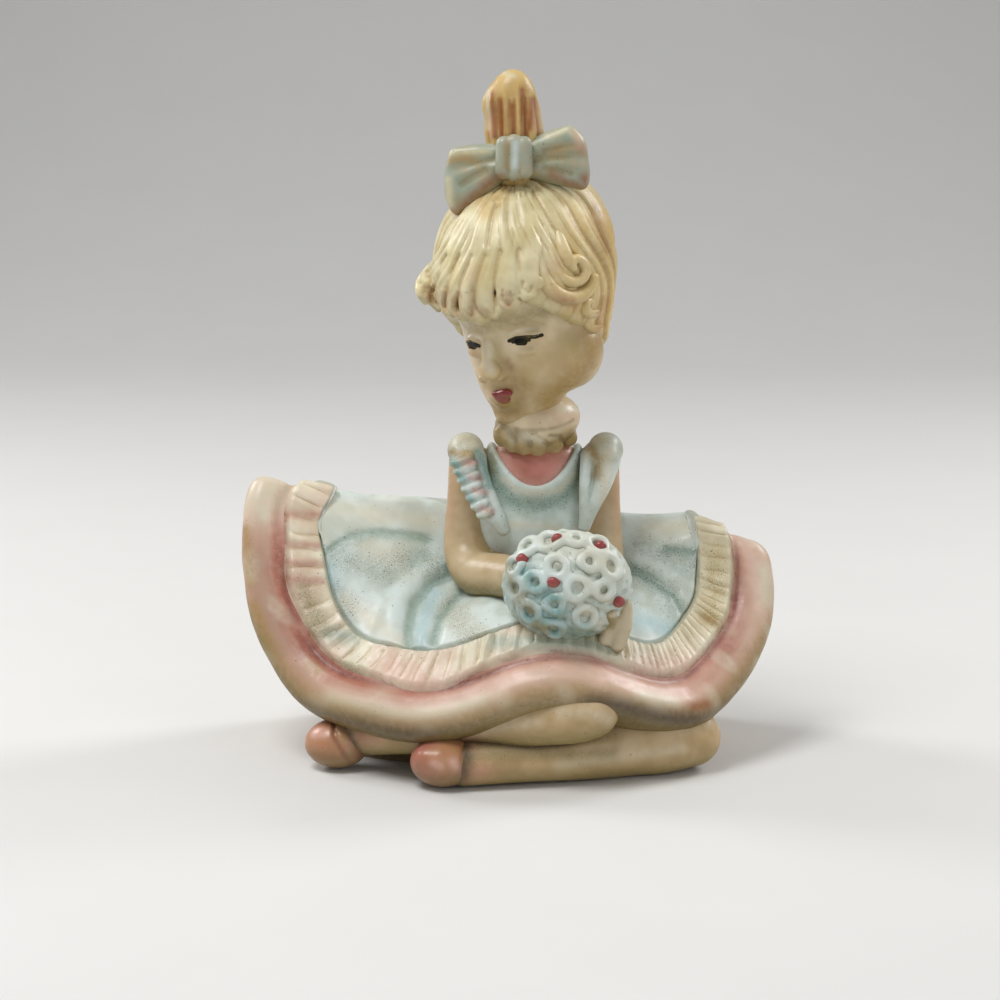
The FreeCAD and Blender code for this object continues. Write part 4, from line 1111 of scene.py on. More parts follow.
class PLASTER_OT_underskirt(bpy.types.Operator):
    """Sculpt the skirt's base, hem and pink border"""

    bl_idname = "plaster.underskirt"
    bl_label = "Underskirt"

    def execute(self, context):
        rings = SkirtRings()
        order = [rings.ground, rings.foot, rings.belly, rings.outside, rings.hem, rings.border]
        side = rounds(order[1:], SIDE_STEPS)
        low = rounds(order[:2], (2,))[:-1]
        lap = rounds([rings.border, rings.apron_edge, rings.middle, rings.waist], LAP_STEPS)[1:]
        rows = np.concatenate([low, side, lap])
        columns = rows.shape[1]
        row = np.arange(len(rows))[:, None]
        border_row = len(low) + sum(SIDE_STEPS)
        hem_row = border_row - SIDE_STEPS[-1]
        roll = np.exp(-(((row - hem_row + 1) / 5.0) ** 2)) * context.scene.plaster_sizes.hem / MM
        roll = roll - CREASE_DEPTH * np.exp(-(((row - border_row + 2) / 3.0) ** 2))
        wave = ripple(rows, 16, 5) * 0.35 + ripple(rows, 6, 6) * 0.10
        wave = wave - WING_SHIFT * eased_step(np.abs(rows[..., 0]), 60, 80)
        wave = wave * eased_step(row * 1.0, 3, 10) * (row <= border_row)
        wave = wave - LAP_SINK * (row > border_row)
        rows = rows + row_normals(rows) * (roll + wave)[..., None] * (row > len(low))[..., None]
        faces = wrapped_faces(len(rows), columns, False)
        points, faces = with_caps(rows.reshape(-1, 3), faces, columns)
        station = np.append(np.tile(station_of(columns), len(rows)), [0, 0])
        level = np.append(np.repeat(np.arange(len(rows)), columns), [0, len(rows)])
        masks = self.masks(points, faces, station, level, hem_row, border_row)
        material = satin("border paint")
        make_piece("underskirt", ["underskirt"], points, faces, masks, material)
        return {"FINISHED"}

    def masks(self, points, faces, station, level, hem_row, border_row):
        x, y, z = points.T
        normals = normals_of(points, faces)
        masks = depth_masks(points, faces)
        masks.update(pixel_masks(points, normals, BORDER_MARKS))
        masks["left"] = eased_step(-x, -10, 60) * eased_step(-y, -32, -5)
        masks["left"] = masks["left"] * (1 - eased_step(z, 66, 82))
        # The back and the wings' tops get cream as painted highlight
        back = eased_step(y, 2, 16) * (0.7 + 0.3 * ripple(points, 20, 7))
        masks["cream"] = np.maximum(masks["cream"], np.maximum(eased_step(z, 74, 86) * 0.9, back))
        # Olive painted shade on the hem's underside, and ochre painted shade along its lower rim
        wing = eased_step(z, 38, 62)
        below = eased_step(hem_row - 3.0 - level - 7 * wing, -3, 5)
        masks["under"] = below * (1 - 0.75 * eased_step(y, -8, 12))
        masks["edge"] = np.exp(-(((level - hem_row + 4) / 4.0) ** 2)) * (0.8 - 0.6 * wing)
        # Brick painted shade in the crease below the ruffle
        near = np.exp(-(((level - border_row + 1.6) / 1.9) ** 2)) * 1.5
        deep = np.interp(station, *zip(*CREASE_SHADE))
        masks["crease"] = near * deep * (0.6 + 0.4 * ripple(points, 9, 9))
        masks["patch"] = eased_step(ripple(points, 8, 10), 0.1, 0.9) * 0.7
        # Umber painted shadow in the gap between the hem and the front leg, and umber painted shade on the
        # front of the hem's underside
        front = eased_step(-y, 5, 25)
        gap = 13 * eased_step(x, 14, 28) * (1 - eased_step(x, 52, 66))
        masks["dark"] = below * front * (1 - eased_step(z - gap, 16, 27))
        masks["shaded"] = masks["under"] * front
        masks["lap"] = 1.0 * (level > border_row + 6)
        specks = 0.25 * eased_step(ripple(points, 9, 3), 0.1, 1)
        masks["dust"] = 0.35 * masks["crease"] + specks * (1 - masks["under"])
        return masks


# Round the skirt, by station: pleats to a station, their slant and the edge's waver
PLEAT_DENSITY = (
    (0, 3.2), (6, 3.0), (12, 2.4), (13.5, 2.5), (16, 3.2), (19, 3.6), (21.5, 4.5), (22.5, 6.2),
    (25, 4.0),
)
PLEAT_SLANT = ((0, 0.2), (12, 0.0), (16, 0.2), (20, -0.6), (23, -1.8), (25, -0.5))
EDGE_WAVER = ((0, 0.02), (11, 0.02), (16, 0.08), (18, 0.2), (20, 0.24), (21, 0.05))


def pleat_profile(columns, across):
    """Height of the ruffle's pleats: rounded ribs with narrow valleys."""
    turns = np.cumsum(by_station(columns, PLEAT_DENSITY)) / SPAN_STEPS
    turns = turns * np.round(turns[-1]) / turns[-1]
    skew = by_station(columns, PLEAT_SLANT)
    place = np.stack([turns, turns * 0, turns * 0], 1)
    phase = turns + ripple(place, 3.0, 4) * 0.30
    phase = phase[None] + skew[None] * across[:, None]
    phase = phase + 0.12 * np.sin(turns * 5.1)[None] * np.sin(across * 4.0)[:, None]
    rib = np.abs(np.sin(np.pi * phase)) ** 0.6
    lift = 0.62 + 0.38 * np.sin(phase * 2.4 + 1.0) * np.cos(phase * 0.83)
    return (rib * lift - 0.55) * 1.3


class PLASTER_OT_ruffle(bpy.types.Operator):
    """Sculpt the pleated ruffle along the apron's edge"""

    bl_idname = "plaster.ruffle"
    bl_label = "Ruffle"

    def execute(self, context):
        sizes = context.scene.plaster_sizes
        rings = SkirtRings()
        columns = SPAN_STEPS * STATION_COUNT
        under = rounds([rings.border, rings.apron_edge], (22,))
        across = np.linspace(0, 1, len(under))
        edge = ripple(closed_curve(rings.border, SPAN_STEPS), 15, 8) * by_station(columns, EDGE_WAVER)
        move = edge[None, :, None] * (1 - across[:, None, None]) ** 2
        shifted = under + (under[-1] - under[0])[None] * move
        normal = row_normals(under)
        rim = eased_step(across, 0.0, 0.16) * (0.35 + 0.65 * eased_step(1 - across, 0.0, 0.10))
        fade = 0.35 + 0.65 * np.sin(np.pi * np.clip(across * 0.75 + 0.1, 0, 1))
        height = (sizes.ruffle / MM + 1.0) * rim[:, None] - 1.0
        pleats = pleat_profile(columns, across) * sizes.pleat / MM * fade[:, None] * rim[:, None]
        lumps = ripple(shifted, 7, 12) * 0.25 * rim[:, None]
        top = shifted + normal * (height + pleats + lumps)[..., None]
        rows = sheet(top, under)
        points = rows.reshape(-1, 3)
        faces = wrapped_faces(len(rows), columns, True)
        masks = depth_masks(points, faces, 0.10, 0.5)
        masks.update(pixel_masks(points, normals_of(points, faces), RUFFLE_MARKS))
        edge_level = np.repeat(np.append(across, [1, 0.5, 0]), columns)
        left = eased_step(-points[:, 0], -45, -5)
        masks["tint"] = left * eased_step(ripple(points, 13, 23), -0.9, 0.6)
        # Brick painted shade along the edge where the ruffle meets the border
        masks["lip"] = 1 - eased_step(edge_level, 0.02, 0.13)
        masks["lip"] = masks["lip"] * eased_step(ripple(points, 9, 22), -0.5, 0.5)
        masks["inner"] = eased_step(edge_level, 0.86, 0.99)
        specks = 0.2 * eased_step(ripple(points, 10, 21), 0.0, 0.9)
        # Dust, and soot over the shade mark as painted shade
        masks["dust"] = 0.6 * masks["straw"] + 0.9 * masks["shade"] + specks
        material = satin("ruffle paint")
        make_piece("apron_ruffle", ["apron_ruffle"], points, faces, masks, material)
        return {"FINISHED"}


class PLASTER_OT_apron(bpy.types.Operator):
    """Sculpt the apron's sheet over the lap and up the skirt's wings"""

    bl_idname = "plaster.apron"
    bl_label = "Apron"

    def execute(self, context):
        thick = context.scene.plaster_sizes.apron / MM
        rings = SkirtRings()
        under = rounds([rings.apron_edge, rings.middle, rings.waist], (30, 40))
        columns = under.shape[1]
        across = np.linspace(0, 1, len(under))
        normal = row_normals(under)
        rim = eased_step(across, 0.0, 0.05)
        height = (thick + 0.5) * rim[:, None] - 0.5 + ripple(under, 22, 31) * 0.4 * rim[:, None]
        for pixels, width, depth in APRON_FOLDS:
            height = height - brushed(under, normal, [pixels], width) * depth
        top = under + normal * height[..., None]
        rows = sheet(top, under)
        points = rows.reshape(-1, 3)
        faces = wrapped_faces(len(rows), columns, True)
        masks = depth_masks(points, faces, 0.10, 0.45)
        masks.update(pixel_masks(points, normals_of(points, faces), APRON_MARKS))
        masks["warm"] = 0.5 * eased_step(ripple(points, 17, 44), 0.0, 0.9)
        masks["back"] = eased_step(points[:, 1], 14, 30)
        specks = 0.12 * eased_step(ripple(points, 12, 42), 0.2, 1)
        # Dust over the grey patches and over the folds' painted shade
        dusty = masks["dusty"] * (0.75 + 0.35 * ripple(points, 5, 41))
        masks["dust"] = dusty + 0.3 * masks["shade"] + 0.15 * masks["beige"] + specks
        material = satin("apron paint")
        make_piece("apron", ["apron"], points, faces, masks, material)
        return {"FINISHED"}


# Legs and shoes

KNEE = np.array([61.0, -24.0, 11.0])
ANKLE = np.array([-15.0, -44.4, 7.8])
CROSSED_KNEE = np.array([27.0, -44.0, 26.3])
CROSSED_ANKLE = np.array([-51.0, -24.0, 12.0])
# The space that the legs lie in
LEG_SPACE = ((-72, -56, -1), (74, -8, 40))
FRONT_LEG = strand(
    [ANKLE, (4, -40.8, 8.8), (23, -37, 9.5), (46, -29, 10.2), KNEE], [7.2, 8.0, 9.0, 10.3, 10.0]
)
CROSSED_LEG = strand(
    [CROSSED_ANKLE, (-30, -32, 15.5), (-5, -38, 19.5), (15, -43.5, 24), CROSSED_KNEE],
    [7.2, 7.6, 8.4, 9.3, 9.0],
)
# A knee's swelling, and how softly it joins its leg
FRONT_KNEE = ball((52, -30, 11.5), (13, 8, 9.5), turned(20))
CROSSED_KNEE_CAP = ball((22, -44.1, 25.5), (12, 7.9, 9.6), turned(4, -12))
FRONT_BLEND = 4
CROSSED_BLEND = 3
FRONT_SHOE = ball((-21.5, -44.4, 8.7), (11.0, 8.9, 8.2))
REAR_SHOE = ball((-57.5, -24.0, 8.8), (11.0, 8.9, 8.3))
# The front shoe's two small swellings, and each shoe's engraved seam
SHOE_SWELLINGS = ((-27.5, -48.8, 11.4), (-23.0, -49.8, 11.2))
SWELLING_RADIUS = 2.4
SWELLING_BLEND = 3.0
FRONT_SEAM = ((-14.5, -36, 13), (-14.2, -45, 16.5), (-14.6, -51.5, 12), (-15, -53, 5))
REAR_SEAM = ((-58.5, -24, 17), (-58.0, -31, 14), (-56, -33.4, 8), (-53, -32, 3.5))
SEAM_WIDTH = 0.9
SEAM_DEPTH = 0.9
# How wide the paint is dark where legs and shoes touch
LEG_SEAM = 1.6
SHOE_SEAM = 1.2
LEG_MARKS = {
    # Cream painted highlight along the knees and legs
    "light": ((
        ((560, 713), (590, 712), (608, 719)), ((470, 729), (540, 721)), ((560, 764), (682, 748)),
    ), 7.0),
    # Greenish painted shade on the legs' lower sides
    "cool": ((
        ((480, 743), (560, 744), (612, 737)), ((440, 757), (560, 754), (612, 752)),
        ((400, 736), (450, 742)),
    ), 8.0),
    "rose": ((((466, 775), (482, 772)), ((362, 738), (378, 732)), ((440, 742), (470, 742))), 12.0),
}
SHOE_MARKS = {
    # Pink painted highlight on the front shoe's swellings and on the rear shoe
    "light": ((((434, 763), (440, 766)), ((453, 763), (457, 767)), ((314, 735), (324, 734))), 5.0),
    "tan": ((((459, 782), (464, 770)), ((346, 762), (356, 745)), ((340, 730), (346, 740))), 9.0),
    "seam": ((
        ((471, 753), (469, 770), (465, 790)), ((334, 722), (333, 735), (343, 753), (352, 766)),
    ), 3.0),
}


class PLASTER_OT_legs(bpy.types.Operator):
    """Sculpt both bare legs and their shoes"""

    bl_idname = "plaster.legs"
    bl_label = "Legs and shoes"

    def execute(self, context):
        step = context.scene.plaster_sizes.voxel / MM * 1.4
        self.legs(step)
        self.shoes(step * 0.8)
        return {"FINISHED"}

    def legs(self, step):
        leg_paint = satin("leg paint")
        front = Clay(*LEG_SPACE, step).add(FRONT_LEG).add(FRONT_KNEE, FRONT_BLEND)
        crossed = Clay(*LEG_SPACE, step).add(CROSSED_LEG)
        crossed.add(CROSSED_KNEE_CAP, CROSSED_BLEND)
        for name, clay, others in (
            ("front_leg", front, [CROSSED_LEG, FRONT_SHOE]),
            ("crossed_leg", crossed, [FRONT_LEG, REAR_SHOE]),
        ):
            points, faces, normals, masks = clay.finished(LEG_MARKS)
            masks["seam"] = near_forms(points, others, LEG_SEAM)
            # Ivory painted light on what faces up, and olive painted shade on what faces down
            masks["top"] = eased_step(normals[:, 2], 0.1, 0.9)
            masks["under"] = eased_step(-normals[:, 2], -0.15, 0.7)
            behind = eased_step(points[:, 1], -36, -22)
            masks["shadow"] = behind * eased_step(30 - points[:, 0], -40, -8)
            # Dust at the seams, and soot over the greenish painted shade
            masks["dust"] = masks["seam"] * 0.3 + masks["cool"] * 0.3
            make_piece(name, [name], points, faces, masks, leg_paint)

    def shoes(self, step):
        shoe_paint = satin("shoe paint")
        front = Clay(*LEG_SPACE, step).add(FRONT_SHOE)
        for spot in SHOE_SWELLINGS:
            front.add(ball(spot, SWELLING_RADIUS), SWELLING_BLEND)
        front.engrave(FRONT_SEAM, SEAM_WIDTH, SEAM_DEPTH)
        rear = Clay(*LEG_SPACE, step).add(REAR_SHOE)
        rear.engrave(REAR_SEAM, SEAM_WIDTH, SEAM_DEPTH)
        for name, clay, leg in (("front_shoe", front, FRONT_LEG), ("rear_shoe", rear, CROSSED_LEG)):
            points, faces, normals, masks = clay.finished(SHOE_MARKS)
            masks["seam"] = np.maximum(masks["seam"] * 0.7, near_forms(points, [leg], SHOE_SEAM) * 0.5)
            masks["aged"] = 0.7 + 0.7 * ripple(points, 9, 33)
            # Umber painted shade on what faces down
            masks["under"] = eased_step(-normals[:, 2], -0.3, 0.6)
            masks["dust"] = masks["seam"] * 0.2
            make_piece(name, [name], points, faces, masks, shoe_paint)


def near_forms(points, forms, width):
    """1 where another form touches, fading over the width."""
    gaps = [np.abs(form.distance(*points.T)) for form in forms]
    return np.exp(-((np.min(gaps, axis=0) / width) ** 2))


# Torso, arms, frills, neck

CHEST = ball((8.5, 3.0, 84.0), (21.0, 12.5, 26.0))
WAIST = ball((8.5, 3.0, 60.0), (18.5, 11.5, 22.0))
NECKLINE = ball((8.8, 3.0, 125.8), (16.2, 25.0, 37.0))


def torso_form(layer):
    def distance(x, y, z):
        return smooth_min(CHEST.distance(x, y, z), WAIST.distance(x, y, z), TORSO_BLEND) - layer

    low = np.minimum(CHEST.low, WAIST.low) - layer
    return Form(distance, low, np.maximum(CHEST.high, WAIST.high) + layer)


# Each arm from the shoulder to the wrist, and the space that it lies in
LEFT_ARM = (
    (-14, 3, 101.4), (-14.6, 1.5, 85), (-14.6, -1.2, 70), (-11.5, -7.5, 64.2), (-4, -15.5, 64.4),
    (3, -23.5, 65.2),
)
RIGHT_ARM = (
    (31, 3, 101.4), (31.3, 1.5, 85), (31.3, -2, 70.5), (31, -8, 64), (30, -19, 60.5),
    (28.6, -29.3, 58.2),
)
ARM_RADII = (6.2, 6.4, 7.4, 7.7, 7.5, 7.2)
LEFT_SPACE = ((-26, -40, 48), (16, 12, 112))
RIGHT_SPACE = ((18, -46, 44), (42, 12, 112))
TORSO_SPACE = ((-20, -16, 46), (38, 20, 116))
# How far the bib stands over the blouse, and how far its underside lies in it
BIB_LAYER = 1.5
BIB_DEPTH = 0.6
# How softly chest and waist join, and how softly the neckline is cut
TORSO_BLEND = 5.0
NECKLINE_BLEND = 1.2
# Heights, places and widths of the neckline's roll and of the groove below it
ROLL = (1.1, 1.8, 1.6)
GROOVE = (0.7, 6.0, 1.8)
# How far an arm's corner with the torso is filled, and how wide its seam is dark
WELD_BLEND = 3.0
WELD_REACH = 2.0
ARM_SEAM = 1.4
ARM_BLUSH = 4.0
BIB_SEAM = 2.2
BIB_MARKS = {
    "rim": (
        (((490, 458), (495, 482), (508, 501), (535, 508), (562, 501), (576, 486), (583, 458)),),
        8.0,
    ),
    # Olive painted shade in the corners beside the arms
    "corner": ((((492, 448), (493, 470)), ((580, 470), (582, 496))), 6.0),
    # Cream painted highlight along the neckline's roll and low on the bib
    "white": ((
        ((503, 478), (516, 490), (538, 494), (560, 490), (573, 474)), ((505, 524), (560, 528)),
    ), 4.0),
}


def neckline_roll(x, y, z):
    """The bib's rolled edge and the groove below it."""
    edge = NECKLINE.distance(x, y, z)
    rise, sink = (size * np.exp(-(((edge - place) / width) ** 2)) for size, place, width in (ROLL, GROOVE))
    return sink - rise


class PLASTER_OT_torso(bpy.types.Operator):
    """Sculpt the pink blouse and the bib with its rolled neckline"""

    bl_idname = "plaster.torso"
    bl_label = "Blouse and bib"

    def execute(self, context):
        step = context.scene.plaster_sizes.voxel / MM * 1.2
        self.blouse(step)
        self.bib(step)
        return {"FINISHED"}

    def blouse(self, step):
        clay = Clay(*TORSO_SPACE, step).add(torso_form(0))
        points, faces, _, masks = clay.finished({})
        rim = np.abs(NECKLINE.distance(*points.T))
        masks["pale"] = np.exp(-((rim / 2.2) ** 2))
        masks["shade"] = eased_step(points[:, 2], 100, 108)
        masks["dust"] = 0.25 * masks["pale"] + 0.1
        paint = satin("blouse paint")
        make_piece("blouse", ["blouse"], points, faces, masks, paint)

    def bib(self, step):
        clay = Clay(*TORSO_SPACE, step).add(torso_form(BIB_LAYER))
        clay.press(neckline_roll, *TORSO_SPACE)
        clay.cut(NECKLINE, NECKLINE_BLEND).cut(torso_form(-BIB_DEPTH))
        points, faces, _, masks = clay.finished(BIB_MARKS)
        arms = [strand(path, ARM_RADII) for path in (LEFT_ARM, RIGHT_ARM)]
        edge = NECKLINE.distance(*points.T)
        # Sage painted shade in the groove below the neckline's roll
        masks["deep"] = np.exp(-(((edge - 5.5) / 3.0) ** 2)) * 0.9
        masks["pale"] = np.exp(-(((edge - 0.8) / 1.6) ** 2)) + eased_step(-points[:, 2], -82, -72)
        masks["seam"] = near_forms(points, arms, BIB_SEAM)
        # Dust on the rim, the seams and the painted shade below the roll
        worn = 0.6 * masks["rim"] + 0.4 * masks["deep"] + 0.5 * masks["seam"]
        masks["dust"] = np.clip(worn, 0, 1) * 0.8
        paint = satin("bib paint")
        make_piece("apron_bib", ["apron_bib"], points, faces, masks, paint)


class PLASTER_OT_arms(bpy.types.Operator):
    """Sculpt the arms and the closed hands round the nosegay"""

    bl_idname = "plaster.arms"
    bl_label = "Arms and hands"

    def execute(self, context):
        step = context.scene.plaster_sizes.voxel / MM * 1.2
        paint = satin("skin paint")
        left_hand, right_hand = hand_clays(step)
        for node, clay, side, pale in (
            ("left_arm", self.arm(LEFT_ARM, LEFT_SPACE, step), -1, 0.0),
            ("left_hand", left_hand, -1, 0.0),
            ("right_arm", self.arm(RIGHT_ARM, RIGHT_SPACE, step), 1, 0.0),
            ("right_hand", right_hand, 1, 1.0),
        ):
            points, faces, normals, masks = clay.finished({})
            masks.update(self.masks(points, normals, side, pale))
            make_piece(node, [node], points, faces, masks, paint)
        return {"FINISHED"}

    def arm(self, path, space, step):
        clay = Clay(*space, step).add(strand(path, ARM_RADII))
        clay.weld(torso_form(BIB_LAYER), WELD_BLEND, WELD_REACH)
        return clay

    def masks(self, points, normals, side, pale):
        """Where the skin is blushed, shaded and aged. Only the right hand is pale."""
        torso = torso_form(BIB_LAYER)
        height = points[:, 2]
        outer = eased_step(normals[:, 0] * side, 0.3, 0.9) * eased_step(height, 66, 88)
        inner = near_forms(points, [torso], ARM_BLUSH) * eased_step(height, 70, 80)
        seam = near_forms(points, [torso, NOSEGAY], ARM_SEAM)
        return {
            "blush": 0.8 * outer + 0.5 * inner,
            # Olive and umber painted shade on what faces down
            "under": eased_step(-normals[:, 2], -0.25, 0.6) * (1 - 0.7 * pale),
            "shaded": eased_step(-normals[:, 2], 0.2, 0.9),
            "aged": 0.6 + 0.6 * ripple(points, 12, 81),
            "pale": np.full(len(points), pale),
            "seam": seam,
            "dust": seam * 0.4,
        }


# Where the photograph shows the right hand's fingers, and how thick they are
FINGER_PIXELS = (
    (((625, 606), (623, 626), (617, 645)), (2.4, 3.0, 2.6)),
    (((611, 614), (609, 628), (604, 641)), (1.8, 2.4, 2.0)),
)
FINGER_LIFT = 0.2
FINGER_BLEND = 1.6
LEFT_HAND_SPACE = ((-6, -42, 52), (18, -16, 78))
RIGHT_HAND_SPACE = ((10, -54, 40), (44, -24, 74))
LEFT_PALM = strand([(2, -22.6, 65.4), (6.5, -28.5, 65.6), (9, -31.5, 66)], (6.9, 6.6, 5.4))
RIGHT_PALM = strand([(28.6, -29.3, 58.2), (28.2, -34.5, 57.6)], (6.9, 5.6))


def hand_clays(step):
    """The left hand as a soft mitt, the right one with two fingers."""
    left = Clay(*LEFT_HAND_SPACE, step).add(LEFT_PALM)
    right = Clay(*RIGHT_HAND_SPACE, step * 0.8).add(RIGHT_PALM)
    for pixels, radii in FINGER_PIXELS:
        finger = strand([struck(NOSEGAY, pixel, FINGER_LIFT) for pixel in pixels], radii)
        right.add(finger, FINGER_BLEND)
    return left, right


# The left frill's pleats: their pixels, the first one's depth and the step to the next
FRILL_PLEATS = ((462, 459), (465, 468), (468, 477), (471, 486), (475, 495), (479, 504), (484, 513))
FRILL_DEPTHS = (-12.0, -0.45)
# A pleat's half sizes, how much shorter each next one is, and its blend
PLEAT_RADII = (4.6, 3.2, 1.9)
PLEAT_SHORTENING = 0.3
PLEAT_BLEND = 1.5
LEFT_FRILL_SPACE = ((-24, -20, 70), (8, 16, 116))
RIGHT_FRILL_SPACE = ((18, -18, 74), (42, 16, 116))
# The groove over the left frill's pleats: its pixels, depth in space, width and depth of cut
FRILL_GROOVE = ((448, 453), (462, 455), (474, 452))
FRILL_GROOVE_CUT = (-13.0, 1.5, 1.6)
# Each frill as strands: path, radii and blend
LEFT_FRILL = (
    (((-14, 6, 102), (-14.5, 0, 104), (-13, -5, 102)), (4.5, 6.2, 5.2), 0),
    (((-13, -5, 101), (-9, -9, 92), (-4, -10.5, 83), (-2, -10, 79)), (5.2, 4.0, 3.0, 2.2), 2),
)
RIGHT_FRILL = (
    (((31, 6, 102), (32.5, 0, 104.3), (31.5, -5, 102)), (4.5, 6.0, 4.6), 0),
    (((33, -5, 101), (31, -9, 94), (27.5, -10.5, 86), (25.5, -10.5, 80)), (4.2, 3.2, 2.4, 1.8), 2),
    (((26.5, -4, 103), (25.5, -9, 96), (25.0, -10.8, 80)), (2.6, 2.0, 1.4), 1.5),
)
FRILL_MARKS = {
    # Cream painted highlight on the frills' tops and the right frill's outer edge
    "white": ((
        ((448, 441), (460, 437), (474, 442)), ((594, 440), (606, 440)), ((607, 452), (604, 500)),
    ), 7.0),
    # Ochre painted shade in the hollow of each frill's cap
    "recess": ((((450, 453), (473, 453)), ((590, 449), (598, 458), (597, 476))), 5.0),
    "blush": ((
        ((464, 463), (476, 462)), ((470, 477), (481, 478)), ((474, 490), (486, 492)),
        ((482, 508), (492, 512)),
    ), 4.0),
    "teal": ((
        ((448, 460), (458, 466)), ((457, 474), (464, 480)), ((461, 494), (472, 500)),
        ((478, 452), (490, 486)),
    ), 4.5),
}


class PLASTER_OT_frills(bpy.types.Operator):
    """Sculpt the gathered frills over the shoulders"""

    bl_idname = "plaster.frills"
    bl_label = "Shoulder frills"

    def execute(self, context):
        step = context.scene.plaster_sizes.voxel / MM
        paint = satin("frill paint")
        left = Clay(*LEFT_FRILL_SPACE, step)
        right = Clay(*RIGHT_FRILL_SPACE, step)
        for clay, form in ((left, LEFT_FRILL), (right, RIGHT_FRILL)):
            for path, radii, blend in form:
                clay.add(strand(path, radii), blend)
        lie = turned(0, -24)
        for k, pixel in enumerate(FRILL_PLEATS):
            spot = upright([pixel], FRILL_DEPTHS[0] + k * FRILL_DEPTHS[1])[0]
            long, wide, deep = PLEAT_RADII
            left.add(ball(spot, (long - PLEAT_SHORTENING * k, wide, deep), lie), PLEAT_BLEND)
        depth, width, cut = FRILL_GROOVE_CUT
        left.engrave(upright(FRILL_GROOVE, depth), width, cut)
        for name, clay in (("left", left), ("right", right)):
            points, faces, _, masks = clay.finished(FRILL_MARKS)
            masks["groove"] = masks["groove"] * 0.8
            masks["aged"] = eased_step(points[:, 2], 98, 106) * (0.75 + 0.3 * ripple(points, 5, 12))
            masks["shade"] = np.maximum(masks["hollow"] * 0.6, masks["recess"])
            masks["dust"] = 0.15 + 0.4 * masks["hollow"] + 0.4 * masks["recess"]
            node = name + "_flounce"
            make_piece(node, [node], points, faces, masks, paint)
        return {"FINISHED"}


NECK = strand([(8.5, 4, 101), (8.5, 3, 112), (8.3, 2.8, 124)], (6.6, 8.4, 9.2))
COLLAR_LEAN = turned(0, -12)
COLLAR = ball((9.6, 1.4, 113.8), (14.6, 12.8, 9.4), COLLAR_LEAN)
LUMP_DEPTH = 2.0
LUMP_BLEND = 1.8
NECK_SPACE = ((-4, -12, 96), (22, 16, 134))
COLLAR_SPACE = ((-10, -16, 100), (30, 20, 128))
# Soft lumps hanging along the collar's lower edge: pixel and half sizes
COLLAR_LUMPS = (
    ((501, 436), (2.6, 2.6, 3.8)), ((511, 441), (2.6, 2.6, 4.0)), ((523, 444), (3.0, 2.8, 3.8)),
    ((538, 446), (3.4, 2.8, 3.4)), ((554, 444), (3.4, 2.6, 3.2)), ((568, 438), (3.2, 2.6, 3.0)),
)
# The collar's folds: pixels, width and depth
COLLAR_LINES = (
    (((503, 428), (514, 436), (517, 446)), 1.3, 0.4),
    (((517, 432), (529, 438), (531, 449)), 1.3, 0.4),
    (((532, 434), (545, 440), (548, 450)), 1.3, 0.35),
    (((550, 436), (561, 436), (563, 446)), 0.9, 0.5),
    (((498, 424), (520, 430), (548, 430), (574, 420)), 1.6, 0.45),
    (((505, 414), (530, 419), (556, 416)), 1.4, -0.35),
)
COLLAR_MARKS = {
    # Ochre painted shade on the roll's lower part
    "low": ((((500, 440), (520, 449), (545, 451), (572, 440)), ((500, 428), (512, 436))), 9.0),
    # Cream painted highlight on the roll's top and on the lumps
    "light": ((((560, 408), (578, 410)), ((508, 432), (512, 440)), ((522, 436), (540, 440))), 4.5),
    # Umber painted shade in the folds between the lumps
    "dark": ((((503, 428), (516, 440)), ((519, 436), (530, 446)), ((498, 416), (498, 436))), 3.2),
}


class PLASTER_OT_neck(bpy.types.Operator):
    """Sculpt the neck and the thick rolled collar"""

    bl_idname = "plaster.neck"
    bl_label = "Neck and collar"

    def execute(self, context):
        step = context.scene.plaster_sizes.voxel / MM
        neck = Clay(*NECK_SPACE, step).add(NECK)
        points, faces, _, masks = neck.finished({})
        masks["dust"] = masks["hollow"] * 0.2
        paint = satin("neck paint")
        make_piece("neck", ["neck"], points, faces, masks, paint)
        self.collar(step)
        return {"FINISHED"}

    def collar(self, step):
        collar = Clay(*COLLAR_SPACE, step).add(COLLAR)
        for pixel, radii in COLLAR_LUMPS:
            lump = ball(struck(COLLAR, pixel, -LUMP_DEPTH), radii, COLLAR_LEAN)
            collar.add(lump, LUMP_BLEND)
        for pixels, width, depth in COLLAR_LINES:
            collar.score(COLLAR, pixels, width, depth)
        points, faces, _, masks = collar.finished(COLLAR_MARKS)
        band = np.exp(-(((points[:, 2] - 117) / 3.0) ** 2))
        masks["blush"] = band * eased_step(points[:, 0], 5, 18)
        masks["dust"] = masks["groove"] * 0.2 + 0.05
        paint = satin("collar paint")
        make_piece("neck_ruff", ["neck_ruff"], points, faces, masks, paint)


# Nosegay

NOSEGAY_CENTRE = np.array([19.0, -35.0, 66.0])
NOSEGAY_RADII = np.array([21.0, 14.5, 18.0])
NOSEGAY = ball(NOSEGAY_CENTRE, NOSEGAY_RADII)
NOSEGAY_SPACE = ((-5, -54, 44), (44, -16, 88))
# How far the leaves, the flowers and the buds stand over the nosegay, and the eye's width in pixels
LEAF_RISE = 0.3
ROSETTE_RISE = 0.15
BUD_RISE = 0.9
BUD_RADII = (2.1, 1.6, 1.9)
EYE_PIXELS = 4.6
ROSETTE_BLEND = 1.4
